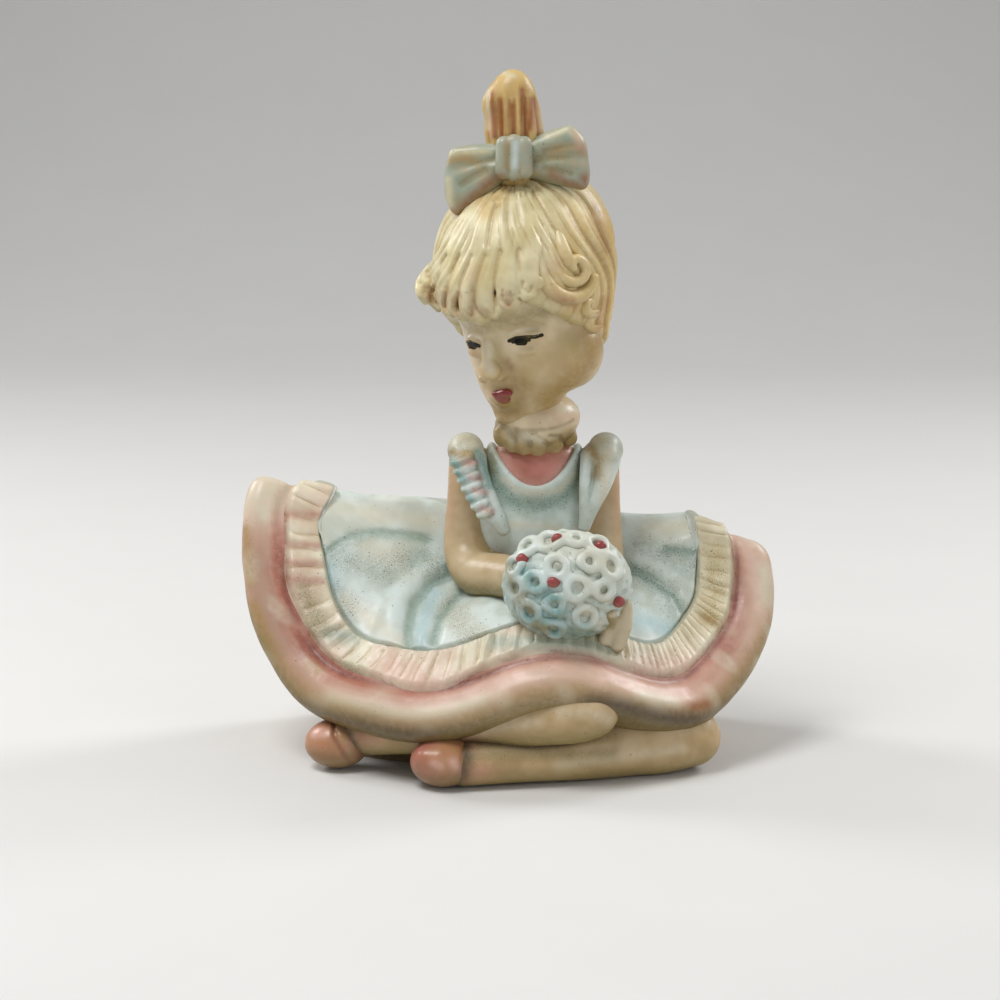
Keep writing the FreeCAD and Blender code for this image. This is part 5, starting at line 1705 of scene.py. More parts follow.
# Where the photograph shows each ring-shaped flower and bud, in its pixels
ROSETTE_PIXELS = (
    (529, 547), (550, 542), (576, 540), (597, 546), (557, 567), (589, 562), (610, 567), (516, 566),
    (536, 582), (577, 588), (603, 590), (517, 588), (530, 611), (555, 604), (585, 616), (554, 627),
)
FLOWER_MARKS = {
    # Teal painted shade on the nosegay's lower part
    "teal": ((
        ((526, 572), (538, 590), (556, 600)), ((528, 616), (552, 632), (590, 634)),
        ((540, 620), (560, 612)),
    ), 8.0),
    # Olive painted shade along the nosegay's left edge
    "olive": ((
        ((506, 560), (510, 582), (520, 602)), ((522, 596), (532, 610)), ((536, 624), (546, 630)),
    ), 6.0),
    # Cream painted light on the nosegay's upper right
    "white": ((
        ((560, 556), (590, 552), (612, 566)), ((580, 580), (606, 598)), ((586, 612), (600, 622)),
    ), 8.0),
}
BUD_PIXELS = ((558, 541), (524, 560), (599, 548), (554, 582), (617, 601))


def on_nosegay(pixel, rise):
    """A point over the nosegay at a pixel, and the way out of it."""
    spot = struck(NOSEGAY, pixel)
    out = (spot - NOSEGAY_CENTRE) / NOSEGAY_RADII**2
    out = out / np.linalg.norm(out)
    return spot + out * rise, out


class PLASTER_OT_nosegay(bpy.types.Operator):
    """Sculpt the round nosegay, its ring-shaped flowers and red buds"""

    bl_idname = "plaster.nosegay"
    bl_label = "Nosegay"

    def execute(self, context):
        sizes = context.scene.plaster_sizes
        step = sizes.voxel / MM
        body = Clay(*NOSEGAY_SPACE, step * 1.2).add(ball(NOSEGAY_CENTRE, NOSEGAY_RADII + LEAF_RISE))
        body.press(bumps, *NOSEGAY_SPACE)
        flowers = Clay(*NOSEGAY_SPACE, step)
        radius, girth = sizes.rosette / MM, sizes.petal / MM
        for k, pixel in enumerate(ROSETTE_PIXELS):
            spot, out = on_nosegay(pixel, ROSETTE_RISE)
            grow = 1.0 + 0.14 * math.sin(k * 2.3)
            flowers.add(ring_form(spot, out, radius * grow, girth, 2 + k % 2), ROSETTE_BLEND)
        self.paint(body, flowers)
        self.buds(step * 0.9)
        return {"FINISHED"}

    def buds(self, step):
        buds = Clay(*NOSEGAY_SPACE, step)
        for pixel in BUD_PIXELS:
            buds.add(ball(on_nosegay(pixel, BUD_RISE)[0], BUD_RADII))
        points, faces, _, masks = buds.finished({})
        masks["dust"] = np.zeros(len(points))
        bud_paint = satin("bud paint")
        make_piece("red_buds", ["red_buds"], points, faces, masks, bud_paint)

    def paint(self, body, flowers):
        flower_paint = satin("flower paint")
        for name, clay in (("nosegay", body), ("rosettes", flowers)):
            points, faces, normals, masks = clay.finished(FLOWER_MARKS)
            x, y, z = points.T
            # Sky painted shade on the lower left, and cream painted light on the upper right
            masks["blue"] = eased_step(-(x * 0.7 + z), -82, -66)
            masks["cream"] = eased_step(x * 0.5 + z, 80, 96)
            masks["dust"] = 0.08 + 0.4 * masks["groove"]
            # Olive painted shade in the rosettes' hollow middles
            middles = [(pixel, np.add(pixel, 1)) for pixel in ROSETTE_PIXELS]
            masks["eye"] = brushed(points, normals, middles, EYE_PIXELS) * (name == "nosegay")
            if name == "nosegay":
                # Sage painted shade in the gaps between the flowers
                masks["groove"] = np.maximum(masks["groove"], 0.25)
                masks["dust"] = 0.12 + masks["groove"] * 0.3
            make_piece(name, [name], points, faces, masks, flower_paint)


def bumps(x, y, z):
    """Small leaf-like swellings between the flowers."""
    wave = np.sin(x * 1.1 + z * 0.5) * np.sin(z * 1.2 - x * 0.3) * np.cos(y * 0.6)
    return (wave * 0.45).astype(np.float32)


# Head, set in its own axes: -Y faces forward, +Z is the crown

HEAD_CENTRE = np.array([6.5, 3.0, 159.5])
HEAD_TURNS = turned(-28, 0, 24)
SKULL = (24.5, 28.0, 33.5)
# Height, width, depth in front and depth behind, as shares of the skull's half sizes
HEAD_OVALS = np.array(
    [
        (-1.21, 0.16, 0.80, -0.52),
        (-1.16, 0.34, 0.92, -0.30),
        (-1.00, 0.56, 1.00, -0.05),
        (-0.76, 0.74, 1.02, 0.25),
        (-0.45, 0.87, 1.00, 0.60),
        (-0.08, 0.97, 1.01, 0.88),
        (0.30, 1.00, 1.02, 1.00),
        (0.62, 0.86, 0.86, 0.90),
        (0.86, 0.58, 0.58, 0.63),
        (0.98, 0.27, 0.27, 0.30),
    ]
)


def head_form(layer, back):
    """The head's stack of ovals, or the hair around it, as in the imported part."""
    wide, deep, high = SKULL
    up = HEAD_OVALS[:, 0] * (high + layer)
    half_wide = HEAD_OVALS[:, 1] * wide + layer
    half_deep = (HEAD_OVALS[:, 2] + HEAD_OVALS[:, 3]) * 0.5 * deep + layer + back * 0.5
    middle = (HEAD_OVALS[:, 3] - HEAD_OVALS[:, 2]) * 0.5 * deep + back * 0.5
    rows = open_curve(np.stack([up, half_wide, half_deep, middle], 1)[:, None], 20)[:, 0]
    top, low = up[-1], up[0]

    def distance(x, y, z):
        a, b, c = local_axes((x, y, z), HEAD_CENTRE, HEAD_TURNS)
        level = np.clip(c, low, top)
        w = np.interp(level, rows[:, 0], rows[:, 1])
        d = np.interp(level, rows[:, 0], rows[:, 2])
        m = np.interp(level, rows[:, 0], rows[:, 3])
        near = np.sqrt((a / w) ** 2 + ((b - m) / d) ** 2)
        side = (near - 1) * np.minimum(w, d) * 0.85
        return smooth_max(side, np.maximum(c - top - 1, low - 1 - c), 3.0)

    reach = 45 + layer
    return Form(distance, HEAD_CENTRE - reach, HEAD_CENTRE + reach)


# How far the hair lies over the skull, and how much further behind
HAIR_LAYER = (4.6, 2.5)
# The face: each form's pixel on the head, its lift over it, its half sizes and its blend
FACE_FORMS = (
    ((490, 370), 2.4, (4.0, 4.0, 3.6), 0.6), ((490, 358), 0.4, (2.2, 3.0, 5.0), 1.8),
    ((490, 345), -2.6, (2.0, 2.8, 5.5), 2.0), ((501, 377), -0.6, (2.0, 2.0, 1.7), 0.5),
    ((483, 378), -0.8, (1.6, 2.0, 1.6), 0.5), ((544, 368), -6.6, (10.0, 7.2, 9.0), 5.0),
    ((503, 396), -3.4, (5.0, 3.9, 3.8), 2.5), ((514, 413), -5.0, (6.5, 5.0, 4.2), 3.0),
    ((526, 331), -2.5, (5.8, 3.1, 2.2), 1.2), ((475, 337), -3.2, (3.4, 2.8, 1.8), 1.2),
    ((524, 348), -2.6, (5.2, 3.0, 1.9), 1.4), ((477, 351), -3.4, (3.2, 2.8, 1.6), 1.4),
)
# The jaw's and neck's swelling towards the viewer's right, which the hair stops above
JAW = ((574, 350), -9.5, (9.8, 12.0, 12.0), 5.0)
# Hollows beside the nose, over the eyes and under the lower lip
FACE_LINES = (
    (((510, 339), (517, 336), (526, 335), (541, 335)), 0.75, 0.75),
    (((462, 341), (470, 340), (480, 343)), 0.7, 0.7),
    (((509, 330), (524, 324), (542, 328)), 1.5, 0.55),
    (((459, 334), (470, 329), (481, 334)), 1.4, 0.5), (((502, 384), (512, 382)), 1.3, 0.6),
    (((496, 408), (506, 408), (514, 404)), 1.5, 0.6), (((496, 385), (499, 389)), 0.9, 0.35),
    (((509, 368), (512, 376), (509, 382)), 1.1, 0.45),
)
FACE_MARKS = {
    "cheek": ((((548, 362), (560, 364)), ((474, 356), (482, 376)), ((486, 386), (490, 392))), 17.0),
    # Ochre painted shade on the jaw's right side, beside the mouth and under the lip
    "jaw": ((
        ((594, 340), (585, 362), (568, 383), (548, 400)), ((519, 388), (524, 384)),
        ((500, 411), (514, 413)),
    ), 22.0),
    # Olive painted shade round the nose and the lips
    "olive": ((
        ((519, 388), (524, 382)), ((503, 362), (505, 373), (500, 383), (489, 386)),
        ((499, 410), (516, 409), (522, 398)),
    ), 6.0),
    # Olive painted shade under the fringe and beside the nose's bridge
    "brow": ((((452, 318), (480, 324), (520, 318), (552, 308)), ((492, 346), (494, 358))), 12.0),
    # Cream painted highlight on the nose's tip and bridge
    "light": ((((487, 364), (490, 369)), ((488, 346), (488, 356))), 5.0),
    # Straw painted highlight on the upper cheek and the nose
    "pale": ((((534, 366), (566, 350)), ((486, 360), (489, 376))), 18.0),
    "orange": ((((508, 361), (511, 368)),), 3.5),
    # Cream painted highlight along the lids' ridges
    "lid": ((
        ((510, 335), (518, 331), (528, 329), (540, 330)), ((463, 337), (471, 335), (479, 338)),
    ), 2.2),
    "lash": ((
        ((509, 341), (516, 338), (526, 337), (535, 337), (542, 335)),
        ((513, 342), (520, 341), (529, 340)), ((463, 342), (470, 342), (479, 346)),
    ), 2.2),
    "iris": ((((518, 342), (524, 342)), ((470, 345), (474, 346))), 4.2),
}
# The lips' forms: pixel and half sizes
LIP_FORMS = (
    ((498, 394), (2.3, 1.5, 1.3)), ((506, 393), (2.3, 1.5, 1.4)), ((503, 399), (2.7, 1.6, 1.7)),
)
LIP_LIFT = 0.9
LIP_BLEND = 1.6
HEAD_SPACE = ((-26, -34, 104), (40, 34, 200))
LIP_SPACE = ((-14, -36, 112), (12, -4, 136))


class PLASTER_OT_head(bpy.types.Operator):
    """Sculpt the face with its lids, nose, cheeks and small lips"""

    bl_idname = "plaster.head"
    bl_label = "Head"

    def execute(self, context):
        step = context.scene.plaster_sizes.voxel / MM
        skull = head_form(0, 0)
        clay = Clay(*HEAD_SPACE, step).add(skull)
        for pixel, lift, radii, blend in FACE_FORMS:
            clay.add(ball(struck(skull, pixel, lift), radii, HEAD_TURNS), blend)
        pixel, lift, radii, blend = JAW
        clay.add(ball(struck(head_form(*HAIR_LAYER), pixel, lift), radii), blend)
        for pixels, width, depth in FACE_LINES:
            clay.score(skull, pixels, width * 1.6, depth)
        points, faces, normals, masks = clay.finished(FACE_MARKS)
        masks["matt"] = np.maximum(masks["iris"], masks["lash"])
        masks["dust"] = 0.10 * eased_step(ripple(points, 8, 51), 0.4, 1)
        # Olive painted shade on what faces down, weaker than elsewhere
        masks["low"] = 0.55 * eased_step(-normals[:, 2], 0.2, 1.0)
        paint = satin("face paint")
        make_piece("head", ["head"], points, faces, masks, paint)
        self.lips(skull, step)
        return {"FINISHED"}

    def lips(self, skull, step):
        lips = Clay(*LIP_SPACE, step * 0.6)
        for pixel, radii in LIP_FORMS:
            lips.add(ball(struck(skull, pixel, LIP_LIFT), radii, HEAD_TURNS), LIP_BLEND)
        points, faces, _, masks = lips.finished({})
        paint = satin("lip paint")
        make_piece("lips", ["lips"], points, faces, masks, paint)


# Hair


def face_opening(x, y, z):
    """The clear space before the face, arched at the hairline."""
    a, b, c = local_axes((x, y, z), HEAD_CENTRE, HEAD_TURNS)
    wide, deep = SKULL[0] * 1.3, SKULL[1]
    side, front, level = -wide * 0.06, -SKULL[1] * 1.05, -SKULL[2] * 0.62
    rise = np.maximum(c - level, 0)
    arch = deep - 3.5 * eased_step(-a, -10, 3) + 6.0 * eased_step(a, 0, 12)
    near = np.sqrt(((a - side) / wide) ** 2 + ((b - front) / deep) ** 2 + (rise / arch) ** 2)
    return (near - 1) * deep


# Where the hair ends before the ear, and how steeply its lower edge falls to the nape
HAIR_END_PIXEL = (598, 336)
HAIR_END_SLOPE = 0.42


def hair_end(shell):
    """The space below the hair's lower edge."""
    spot = struck(shell, HAIR_END_PIXEL)

    def distance(x, y, z):
        fall = (z - spot[2] + HAIR_END_SLOPE * (y - spot[1])) / math.hypot(1, HAIR_END_SLOPE)
        return fall + np.zeros_like(x + y)

    return distance


# The pixel under the bow that the hair fans out from
CROWN_PIXEL = (520, 172)
# Locks of the fringe: pixels from the crown to the curled tip, and the strand's radius
FRINGE_LOCKS = (
    (((484, 190), (462, 226), (443, 262), (429, 280), (424, 290), (428, 300)), 2.0),
    (((489, 190), (470, 230), (453, 266), (441, 287), (437, 299), (441, 307)), 2.1),
    (((495, 190), (480, 232), (465, 268), (453, 292), (450, 304), (455, 312)), 2.1),
    (((501, 190), (490, 234), (478, 268), (469, 292), (468, 306), (475, 315)), 2.2),
    (((507, 190), (501, 234), (493, 264), (486, 288), (488, 306), (497, 313)), 2.2),
    (((513, 190), (512, 232), (507, 262), (504, 284), (509, 300), (516, 304)), 2.1),
    (((520, 190), (523, 228), (519, 258), (518, 280), (525, 293), (532, 292)), 2.0),
    (((528, 190), (533, 224), (532, 250), (530, 270), (535, 283), (541, 282)), 1.8),
)
# The round ends of those locks: pixel, and radius
FRINGE_TIPS = (
    ((427, 294), 2.8), ((438, 302), 2.7), ((450, 309), 2.8), ((464, 313), 3.0), ((482, 315), 3.4),
    ((508, 301), 4.2), ((528, 288), 3.2), ((495, 300), 2.8), ((456, 306), 2.4),
)
# Grooves between the locks and inside the curled ends: pixels, width in pixels and depth
FRINGE_LINES = (
    (((447, 256), (436, 280), (432, 298)), 3.0, 0.6),
    (((459, 256), (448, 284), (445, 306)), 3.0, 0.6),
    (((471, 256), (460, 286), (457, 310)), 3.0, 0.65),
    (((485, 256), (474, 288), (472, 314)), 3.2, 0.7),
    (((500, 252), (494, 282), (494, 312)), 3.2, 0.75),
    (((519, 250), (517, 276), (520, 298)), 3.2, 0.7),
    (((503, 291), (502, 300), (508, 305), (513, 300), (510, 293)), 2.4, 0.7),
    (((523, 282), (522, 289), (528, 292), (532, 287)), 2.2, 0.5),
    (((497, 206), (486, 244)), 3.0, 0.5), (((530, 206), (540, 240)), 3.0, 0.5),
)
# The rolled locks over the temple and the small curls before the ear
SIDE_CURLS = (
    ((
        (544, 222), (548, 246), (555, 266), (567, 281), (581, 279), (585, 268), (577, 259),
        (567, 263),
    ), 2.2),
    (((534, 232), (538, 258), (544, 279), (556, 293), (571, 298), (585, 292), (594, 278)), 3.0),
    (((558, 232), (563, 250), (573, 268)), 2.6),
    (((593, 299), (585, 305), (588, 313), (597, 312)), 2.0),
    (((599, 315), (589, 320), (591, 328), (600, 327)), 2.0),
    (((601, 331), (592, 334), (594, 341), (601, 341)), 1.6),
)
HAIR_MARKS = {
    "gold": ((
        ((606, 215), (612, 250), (611, 290), (604, 330), (592, 362)), ((480, 196), (486, 212)),
        ((505, 186), (497, 198)),
    ), 10.0),
    # Amber painted shade between the fringe's curled tips, and the hair's own orange in the strands at the
    # right
    "amber": ((
        ((434, 288), (432, 300)), ((446, 292), (444, 309)), ((459, 296), (457, 314)),
        ((473, 296), (472, 317)), ((506, 294), (508, 304)), ((559, 300), (572, 303)),
        ((427, 290), (429, 297)), ((439, 296), (442, 304)), ((453, 300), (458, 308)),
        ((477, 309), (486, 313)), ((596, 208), (606, 250)), ((604, 300), (598, 330)),
    ), 5.0),
    "blush": ((
        ((470, 280), (476, 272)), ((551, 292), (575, 303)), ((500, 298), (506, 304)),
        ((548, 268), (560, 262)),
    ), 7.0),
}
FRINGE_SPACE = ((-32, -38, 142), (20, 14, 198))
# The fringe's parts that the grooves between locks, and those from the crown, are cut in
FRINGE_FRONT = ((-32, -38, 142), (20, 0, 198))
FRINGE_TOP = ((-32, -38, 162), (20, 14, 198))
CURL_SPACE = ((2, -38, 138), (38, 0, 196))
HAIR_SPACE = ((-32, -38, 100), (42, 38, 206))
# How far the cap's inner side lies in the skull, and the fringe's round ends in the hair
CAP_DEPTH = 1.5
TIP_DEPTH = 0.9
TIP_BLEND = 1.4
# How softly the face's opening and the lower edge are cut
OPENING_BLEND = 5.0
EDGE_BLEND = 3.0
# How far a lock starts in the hair, and how much each second strand stands out
LOCK_DEPTH = 1.6
LOCK_STAGGER = 0.2
LOCK_BLEND = 0.7
# How far the fringe's and the curls' locks rise from crown to tip
FRINGE_RISE = 3.4
CURL_RISE = 2.0
# Shares of a lock's radius along it, from the crown to its tip
LOCK_SHARES = np.array([0.55, 0.85, 1.0, 1.0, 0.9, 0.65])


class PLASTER_OT_hair(bpy.types.Operator):
    """Sculpt the hair cap, the fringe and the side curls"""

    bl_idname = "plaster.hair"
    bl_label = "Hair"

    def execute(self, context):
        sizes = context.scene.plaster_sizes
        step = sizes.voxel / MM
        shell = head_form(*HAIR_LAYER)
        depth = sizes.strand / MM
        curls = self.locks(Clay(*CURL_SPACE, step), shell, SIDE_CURLS, 1, CURL_RISE)
        pieces = (
            ("hair_cap", self.cap(shell, step * 1.35, depth)),
            ("fringe_locks", self.fringe(shell, step, depth * 0.5)),
            ("side_curls", curls),
        )
        paint = satin("hair paint")
        for name, clay in pieces:
            points, faces, _, masks = clay.finished(HAIR_MARKS, 0.5)
            masks.update(self.masks(points, masks["groove"]))
            make_piece(name, [name], points, faces, masks, paint)
        return {"FINISHED"}

    def cap(self, shell, step, depth):
        cap = Clay(*HAIR_SPACE, step).add(shell)
        cap.press(fan_grooves(struck(shell, CROWN_PIXEL), depth), *HAIR_SPACE)
        cap.cut(Form(face_opening, *HAIR_SPACE), OPENING_BLEND)
        cap.cut(Form(hair_end(shell), *HAIR_SPACE), EDGE_BLEND)
        return cap.cut(head_form(-CAP_DEPTH, 0))

    def fringe(self, shell, step, depth):
        fringe = self.locks(Clay(*FRINGE_SPACE, step), shell, FRINGE_LOCKS, 3, FRINGE_RISE)
        for pixel, radius in FRINGE_TIPS:
            fringe.add(ball(struck(shell, pixel, -TIP_DEPTH), radius), TIP_BLEND)
        fringe.press(drawn(FRINGE_LINES), *FRINGE_FRONT)
        fringe.press(fan_grooves(struck(shell, CROWN_PIXEL), depth), *FRINGE_TOP)
        return fringe

    def locks(self, clay, shell, table, strand_count, rise):
        """Bundles of strands side by side that taper towards the crown."""
        for pixels, radius in table:
            for k in range(strand_count):
                shift = (k - (strand_count - 1) / 2) * radius * 0.8 * PIXELS_PER_MM
                line = open_curve(pixels, 3)
                along = np.gradient(line, axis=0)
                side = np.stack([-along[:, 1], along[:, 0]], 1)
                side = side / np.linalg.norm(side, axis=1, keepdims=True)
                share = np.linspace(0, 1, len(line))[:, None]
                narrow = 0.45 + 0.55 * eased_step(share, 0.0, 0.35) - 0.35 * eased_step(share, 0.7, 1)
                line = line + side * shift * narrow
                lifts = rise * eased_step(share[:, 0], 0.0, 0.8) - LOCK_DEPTH + LOCK_STAGGER * (k % 2)
                spots = [struck(shell, pixel, lift) for pixel, lift in zip(line, lifts)]
                clay.add(strand(spots, radius * LOCK_SHARES * 0.9, 2), LOCK_BLEND)
        return clay

    def masks(self, points, groove):
        """Gold at the side and the back, straw in patches and a little dust."""
        a, b, _ = ((points - HEAD_CENTRE) @ HEAD_TURNS).T
        return {
            "back": eased_step(a, 14, 27) + eased_step(b, 4, 20),
            "straw": 0.35 + 0.5 * ripple(points, 9, 61),
            "dust": groove * 0.04,
        }


def fan_grooves(crown, depth):
    """Grooves that fan out from the crown, uneven in width and depth."""
    centre = (crown - HEAD_CENTRE) @ HEAD_TURNS * 0.5

    def change(x, y, z):
        a, b, c = local_axes((x, y, z), HEAD_CENTRE, HEAD_TURNS)
        bearing = np.arctan2(a - centre[0], -(b - centre[1]))
        bend = bearing + 0.10 * np.sin(c * 0.16 + bearing * 3)
        wave = 0.5 * np.sin(bend * 37 + 1.5 * np.sin(bend * 7)) + 0.25 * np.sin(bend * 79)
        wave = wave + 0.75 * np.sin(bend * 15 + 1.2 * np.sin(bend * 4))
        fade = eased_step(np.hypot(a - centre[0], b - centre[1]), 1.5, 6)
        return (np.clip(wave, -1.1, 1.3) * depth * fade).astype(np.float32)

    return change


# Ponytail and bow

TUFT_SPACE = ((-12, -24, 186), (18, 6, 236))
TUFT = strand(
    [(2.2, -4.5, 190), (2.0, -7.6, 200), (1.8, -8.8, 212), (0.8, -9.2, 221.5)],
    (6.0, 8.0, 9.1, 8.2),
    flat=(0, 0.5, 0),
)
TUFT_TOPS = (ball((1.2, -9.4, 225.2), (5.6, 5.4, 6.2)), ball((-4.0, -10.0, 221.0), (3.8, 4.6, 4.6)))
# The fold beside the tuft's tip, the plane that it lies on and the tuft's painted marks
TUFT_FOLD = ((501, 76), (498, 88), (497, 106))
TUFT_DEPTH = -17.5
FOLD_WIDTH = 1.3
FOLD_DEPTH = 1.2
TOP_BLEND = 2.5
TUFT_MARKS = {
    "gold": ((((509, 82), (509, 100)), ((494, 84), (500, 120)), ((526, 84), (530, 120))), 8.0),
    # Amber painted shade in the grooves
    "amber": ((
        ((491, 94), (495, 136)), ((500, 100), (502, 138)), ((512, 106), (513, 138)),
        ((522, 90), (525, 138)), ((532, 100), (530, 128)),
    ), 3.6),
    "blush": ((((536, 104), (538, 130)), ((488, 116), (491, 132))), 5.0),
    # Flax painted highlight along the edges and the top
    "light": ((((486, 88), (488, 128)), ((542, 100), (543, 128)), ((504, 73), (514, 76))), 3.0),
}


def flutes(x, y, z):
    """Grooves up the ponytail."""
    bearing = np.arctan2(x - 1.6, -(y + 8.8))
    fade = eased_step(z, 194, 200) * (1 - eased_step(z, 219, 225))
    wave = np.sin(bearing * 11 + 0.04 * z) * 0.55 + np.sin(bearing * 23 + 1) * 0.3
    return (wave * 1.1 * fade).astype(np.float32)


class PLASTER_OT_ponytail(bpy.types.Operator):
    """Sculpt the upright ponytail with its grooves and folded top"""

    bl_idname = "plaster.ponytail"
    bl_label = "Ponytail"

    def execute(self, context):
        step = context.scene.plaster_sizes.voxel / MM
        clay = Clay(*TUFT_SPACE, step).add(TUFT)
        for top in TUFT_TOPS:
            clay.add(top, TOP_BLEND)
        clay.press(flutes, *TUFT_SPACE)
        clay.engrave(upright(TUFT_FOLD, TUFT_DEPTH), FOLD_WIDTH, FOLD_DEPTH)
        points, faces, _, masks = clay.finished(TUFT_MARKS)
        masks["gold"] = masks["gold"] + eased_step(points[:, 1], -8, -4) * 0.8
        masks["whole"] = np.ones(len(points))
        masks["dust"] = masks["groove"] * 0.03
        paint = satin("ponytail paint")
        make_piece("ponytail", ["ponytail"], points, faces, masks, paint)
        return {"FINISHED"}


# The upright planes that the bow's loops, their creases and the knot lie on
BOW_DEPTH = -12.6
CREASE_PLANE = -16.8
KNOT_DEPTH = -18.0
CREASE_WIDTH = 1.5
CREASE_DEPTHS = (2.2, 1.1, 0.8)
# The bow's loops: pixels of the puffs from the knot outward, with their radii, and the creases
BOW_LOOPS = {
    "bow_left": (
        (
            (((500, 153), (478, 153), (457, 154)), (2.8, 2.9, 2.4)),
            (((500, 157), (478, 161), (455, 165)), (3.2, 3.4, 2.8)),
            (((500, 161), (478, 169), (454, 176)), (3.2, 3.6, 2.9)),
            (((500, 164), (478, 176), (454, 187)), (3.2, 3.6, 2.9)),
            (((500, 167), (479, 183), (455, 198)), (3.0, 3.4, 2.8)),
            (((500, 169), (481, 188), (458, 208)), (2.4, 2.8, 2.3)),
        ),
        (((451, 169), (470, 164), (496, 158)), ((462, 184), (484, 170)), ((458, 156), (486, 156))),
    ),
    "bow_right": (
        (
            (((528, 150), (548, 141), (568, 132)), (2.6, 2.9, 2.4)),
            (((528, 153), (552, 147), (575, 141)), (3.0, 3.4, 2.8)),
            (((528, 157), (554, 154), (578, 151)), (3.2, 3.6, 2.9)),
            (((528, 161), (554, 162), (579, 162)), (3.2, 3.6, 2.9)),
            (((528, 164), (555, 169), (581, 173)), (3.0, 3.4, 2.8)),
            (((528, 167), (556, 175), (581, 183)), (2.4, 2.8, 2.3)),
        ),
        (((583, 157), (560, 157), (530, 160)), ((572, 145), (545, 152)), ((570, 174), (545, 167))),
    ),
}
KNOT_PIXELS = (((504, 144), (503, 171)), ((514, 142), (514, 173)), ((524, 144), (525, 171)))
KNOT_RADII = (2.6, 2.6)
KNOT_BLEND = 0.8
PUFF_BLEND = 3.0
KNOT_SPACE = ((-8, -26, 192), (14, -6, 214))
LOOP_SPACE = ((-24, -22, 180), (30, -2, 218))


def bow_loop(puffs, creases, step):
    """A loop of the bow: puffs that part towards its flared end, with its creases."""
    clay = Clay(*LOOP_SPACE, step)
    for pixels, radii in puffs:
        clay.add(strand(upright(pixels, BOW_DEPTH), radii), PUFF_BLEND)
    for line, depth in zip(creases, CREASE_DEPTHS):
        clay.engrave(upright(line, CREASE_PLANE), CREASE_WIDTH, depth)
    return clay


# Painted marks on the bow: their pixels and width
BOW_MARKS = {
    # Amber painted shade along the loops' lower edges
    "warm": ((
        ((458, 214), (470, 200), (486, 186), (500, 177)), ((586, 190), (572, 185), (552, 175)),
        ((584, 178), (587, 190)),
    ), 6.0),
    "ochre": ((
        ((452, 160), (462, 158), (476, 161)), ((552, 152), (566, 146), (580, 148)),
        ((507, 146), (507, 166)),
    ), 5.0),
    "cream": ((
        ((452, 153), (470, 152), (490, 152)), ((548, 136), (568, 129), (580, 138)),
        ((449, 180), (450, 205)),
    ), 4.0),
    "stripe": ((((516, 144), (515, 166)),), 4.5),
    "blush": ((((575, 132), (582, 150)), ((452, 212), (456, 216))), 5.0),
}


class PLASTER_OT_bow(bpy.types.Operator):
    """Sculpt the bow's knot and its two creased loops"""

    bl_idname = "plaster.bow"
    bl_label = "Bow"

    def execute(self, context):
        step = context.scene.plaster_sizes.voxel / MM
        knot = Clay(*KNOT_SPACE, step)
        for pixels in KNOT_PIXELS:
            knot.add(strand(upright(pixels, KNOT_DEPTH), KNOT_RADII), KNOT_BLEND)
        loops = [bow_loop(*BOW_LOOPS[name], step) for name in ("bow_left", "bow_right")]
        paint = satin("bow paint")
        for name, clay in zip(("bow_knot", "bow_left", "bow_right"), (knot, *loops)):
            points, faces, _, masks = clay.finished(BOW_MARKS)
            # Ice on the high spots, as painted highlight and wear
            masks["pale"] = masks["high"] * 0.5
            masks["aged"] = 0.75 + 0.5 * ripple(points, 8, 91)
            masks["dust"] = masks["groove"] * 0.3 + 0.05
            make_piece(name, [name], points, faces, masks, paint)
        return {"FINISHED"}


# Floor, lamps and camera

FLOOR_REACH = 4.0
COVE_START = 0.8
COVE_RADIUS = 0.8
PAPER_REACH = 60.0
PAPER_TONES = ((0.74, 0.735, 0.72), (0.77, 0.765, 0.75))
LAMP_AIM = np.array([0.0, 0.0, 0.1])


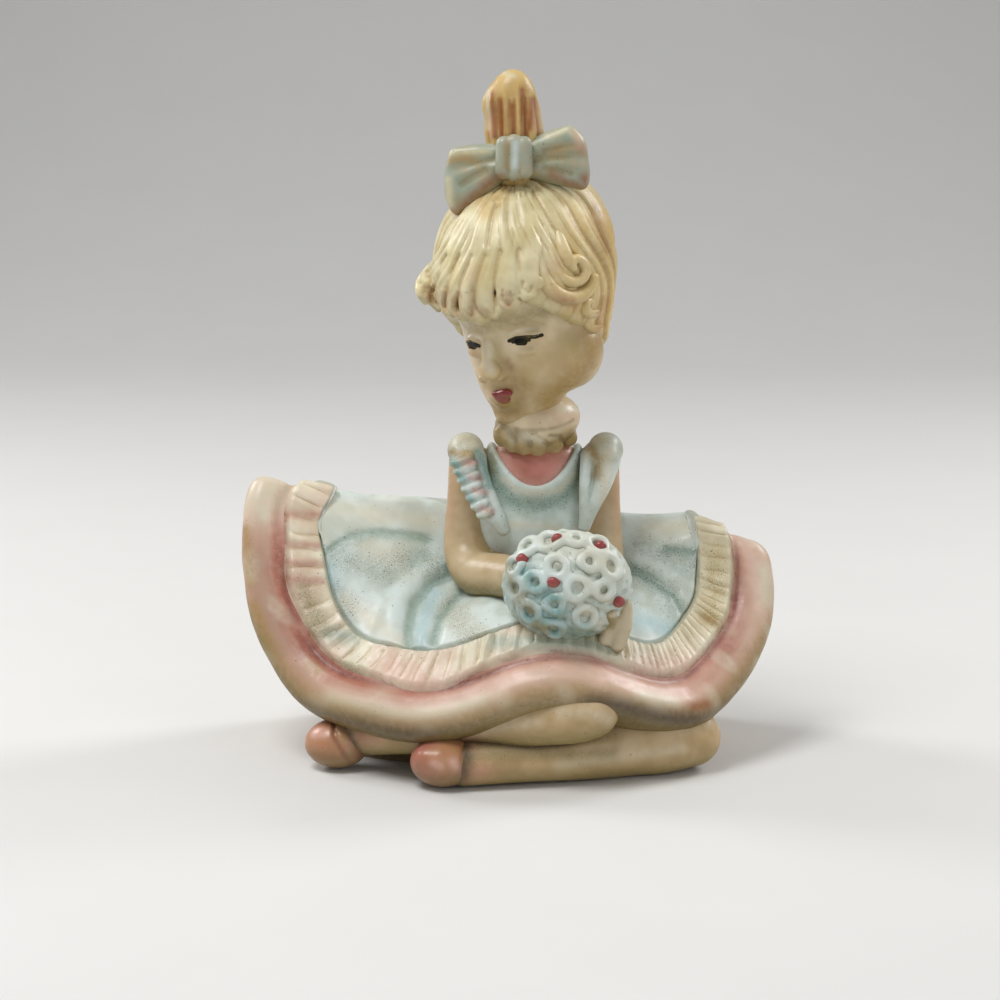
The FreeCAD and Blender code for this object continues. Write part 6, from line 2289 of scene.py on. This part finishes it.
class PLASTER_OT_stage(bpy.types.Operator):
    """Lay a pale floor, hang soft lamps and set the camera"""

    bl_idname = "plaster.stage"
    bl_label = "Studio"

    def execute(self, context):
        scene = context.scene
        self.floor()
        for name, place, width, watts in LAMPS:
            self.lamp(name, place, width, watts)
        self.world()
        camera = bpy.data.objects.new("camera", bpy.data.cameras.new("camera"))
        camera.data.lens = LENS
        camera.data.sensor_width = SENSOR
        camera.location = CAMERA_PLACE * MM
        camera.rotation_euler = (math.radians(90 - CAMERA_TILT), 0, 0)
        scene.collection.objects.link(camera)
        scene.camera = camera
        scene.view_settings.view_transform = "Standard"
        return {"FINISHED"}

    def floor(self):
        cove = [
            (COVE_START + COVE_RADIUS * math.sin(turn), COVE_RADIUS * (1 - math.cos(turn)))
            for turn in np.linspace(0, math.pi / 2, 24)
        ]
        line = [(-FLOOR_REACH, 0.0), *cove, (cove[-1][0], FLOOR_REACH)]
        points = [(x, y, z) for x in (-FLOOR_REACH, FLOOR_REACH) for y, z in line]
        n = len(line)
        faces = [(k, n + k, n + k + 1, k + 1) for k in range(n - 1)]
        mesh = bpy.data.meshes.new("floor")
        mesh.from_pydata(points, [], faces)
        mesh.shade_smooth()
        kit = Palette("floor paper")
        shader = kit.node("ShaderNodeBsdfPrincipled")
        shader.inputs["Roughness"].default_value = 0.85
        tint = kit.mix(kit.noise(PAPER_REACH, 2.0), *PAPER_TONES)
        kit.join(tint, shader.inputs["Base Color"])
        output = kit.node("ShaderNodeOutputMaterial")
        kit.join(shader.outputs[0], output.inputs["Surface"])
        mesh.materials.append(kit.material)
        floor = bpy.data.objects.new("floor", mesh)
        bpy.context.scene.collection.objects.link(floor)

    def lamp(self, name, place, width, watts):
        light = bpy.data.lights.new(name, "AREA")
        light.shape = "DISK"
        light.size = width
        light.energy = watts
        item = bpy.data.objects.new(name, light)
        item.location = place
        aim = LAMP_AIM - np.array(place)
        aim = aim / np.linalg.norm(aim)
        item.rotation_euler = (math.acos(-aim[2]), 0, math.atan2(-aim[0], aim[1]))
        bpy.context.scene.collection.objects.link(item)

    def world(self):
        world = bpy.data.worlds.new("studio")
        world.use_nodes = True
        back = world.node_tree.nodes["Background"]
        back.inputs["Color"].default_value = (1, 1, 1, 1)
        back.inputs["Strength"].default_value = 0.30
        bpy.context.scene.world = world


LAMPS = (
    ("key lamp", (-0.38, -0.34, 1.05), 0.5, 6.6),
    ("fill lamp", (0.75, -0.9, 0.5), 0.8, 2.0),
    ("left rim lamp", (-0.75, 0.35, 0.6), 0.4, 3.4),
    ("right rim lamp", (0.75, 0.35, 0.65), 0.4, 3.6),
)


class PLASTER_PT_panel(bpy.types.Panel):
    """Lists the pieces, the sizes and the colours"""

    bl_idname = "PLASTER_PT_panel"
    bl_label = "Plaster girl"
    bl_space_type = "VIEW_3D"
    bl_region_type = "UI"
    bl_category = "Plaster girl"

    def draw(self, context):
        for operator in OPERATORS:
            self.layout.operator(operator.bl_idname)
        for group in (context.scene.plaster_sizes, context.scene.plaster_colours):
            box = self.layout.box()
            for name in group.__annotations__:
                box.prop(group, name)


OPERATORS = (
    PLASTER_OT_underskirt,
    PLASTER_OT_ruffle,
    PLASTER_OT_apron,
    PLASTER_OT_legs,
    PLASTER_OT_torso,
    PLASTER_OT_arms,
    PLASTER_OT_frills,
    PLASTER_OT_neck,
    PLASTER_OT_nosegay,
    PLASTER_OT_head,
    PLASTER_OT_hair,
    PLASTER_OT_ponytail,
    PLASTER_OT_bow,
    PLASTER_OT_stage,
)
CLASSES = (PlasterColours, PlasterSizes, *OPERATORS, PLASTER_PT_panel)


def register():
    for item in CLASSES:
        bpy.utils.register_class(item)
    bpy.types.Scene.plaster_colours = bpy.props.PointerProperty(type=PlasterColours)
    bpy.types.Scene.plaster_sizes = bpy.props.PointerProperty(type=PlasterSizes)


def unregister():
    del bpy.types.Scene.plaster_sizes
    del bpy.types.Scene.plaster_colours
    for item in reversed(CLASSES):
        bpy.utils.unregister_class(item)


def main():
    register()
    for operator in OPERATORS:
        group, name = operator.bl_idname.split(".")
        getattr(getattr(bpy.ops, group), name)()


if __name__ == "__main__":
    main()
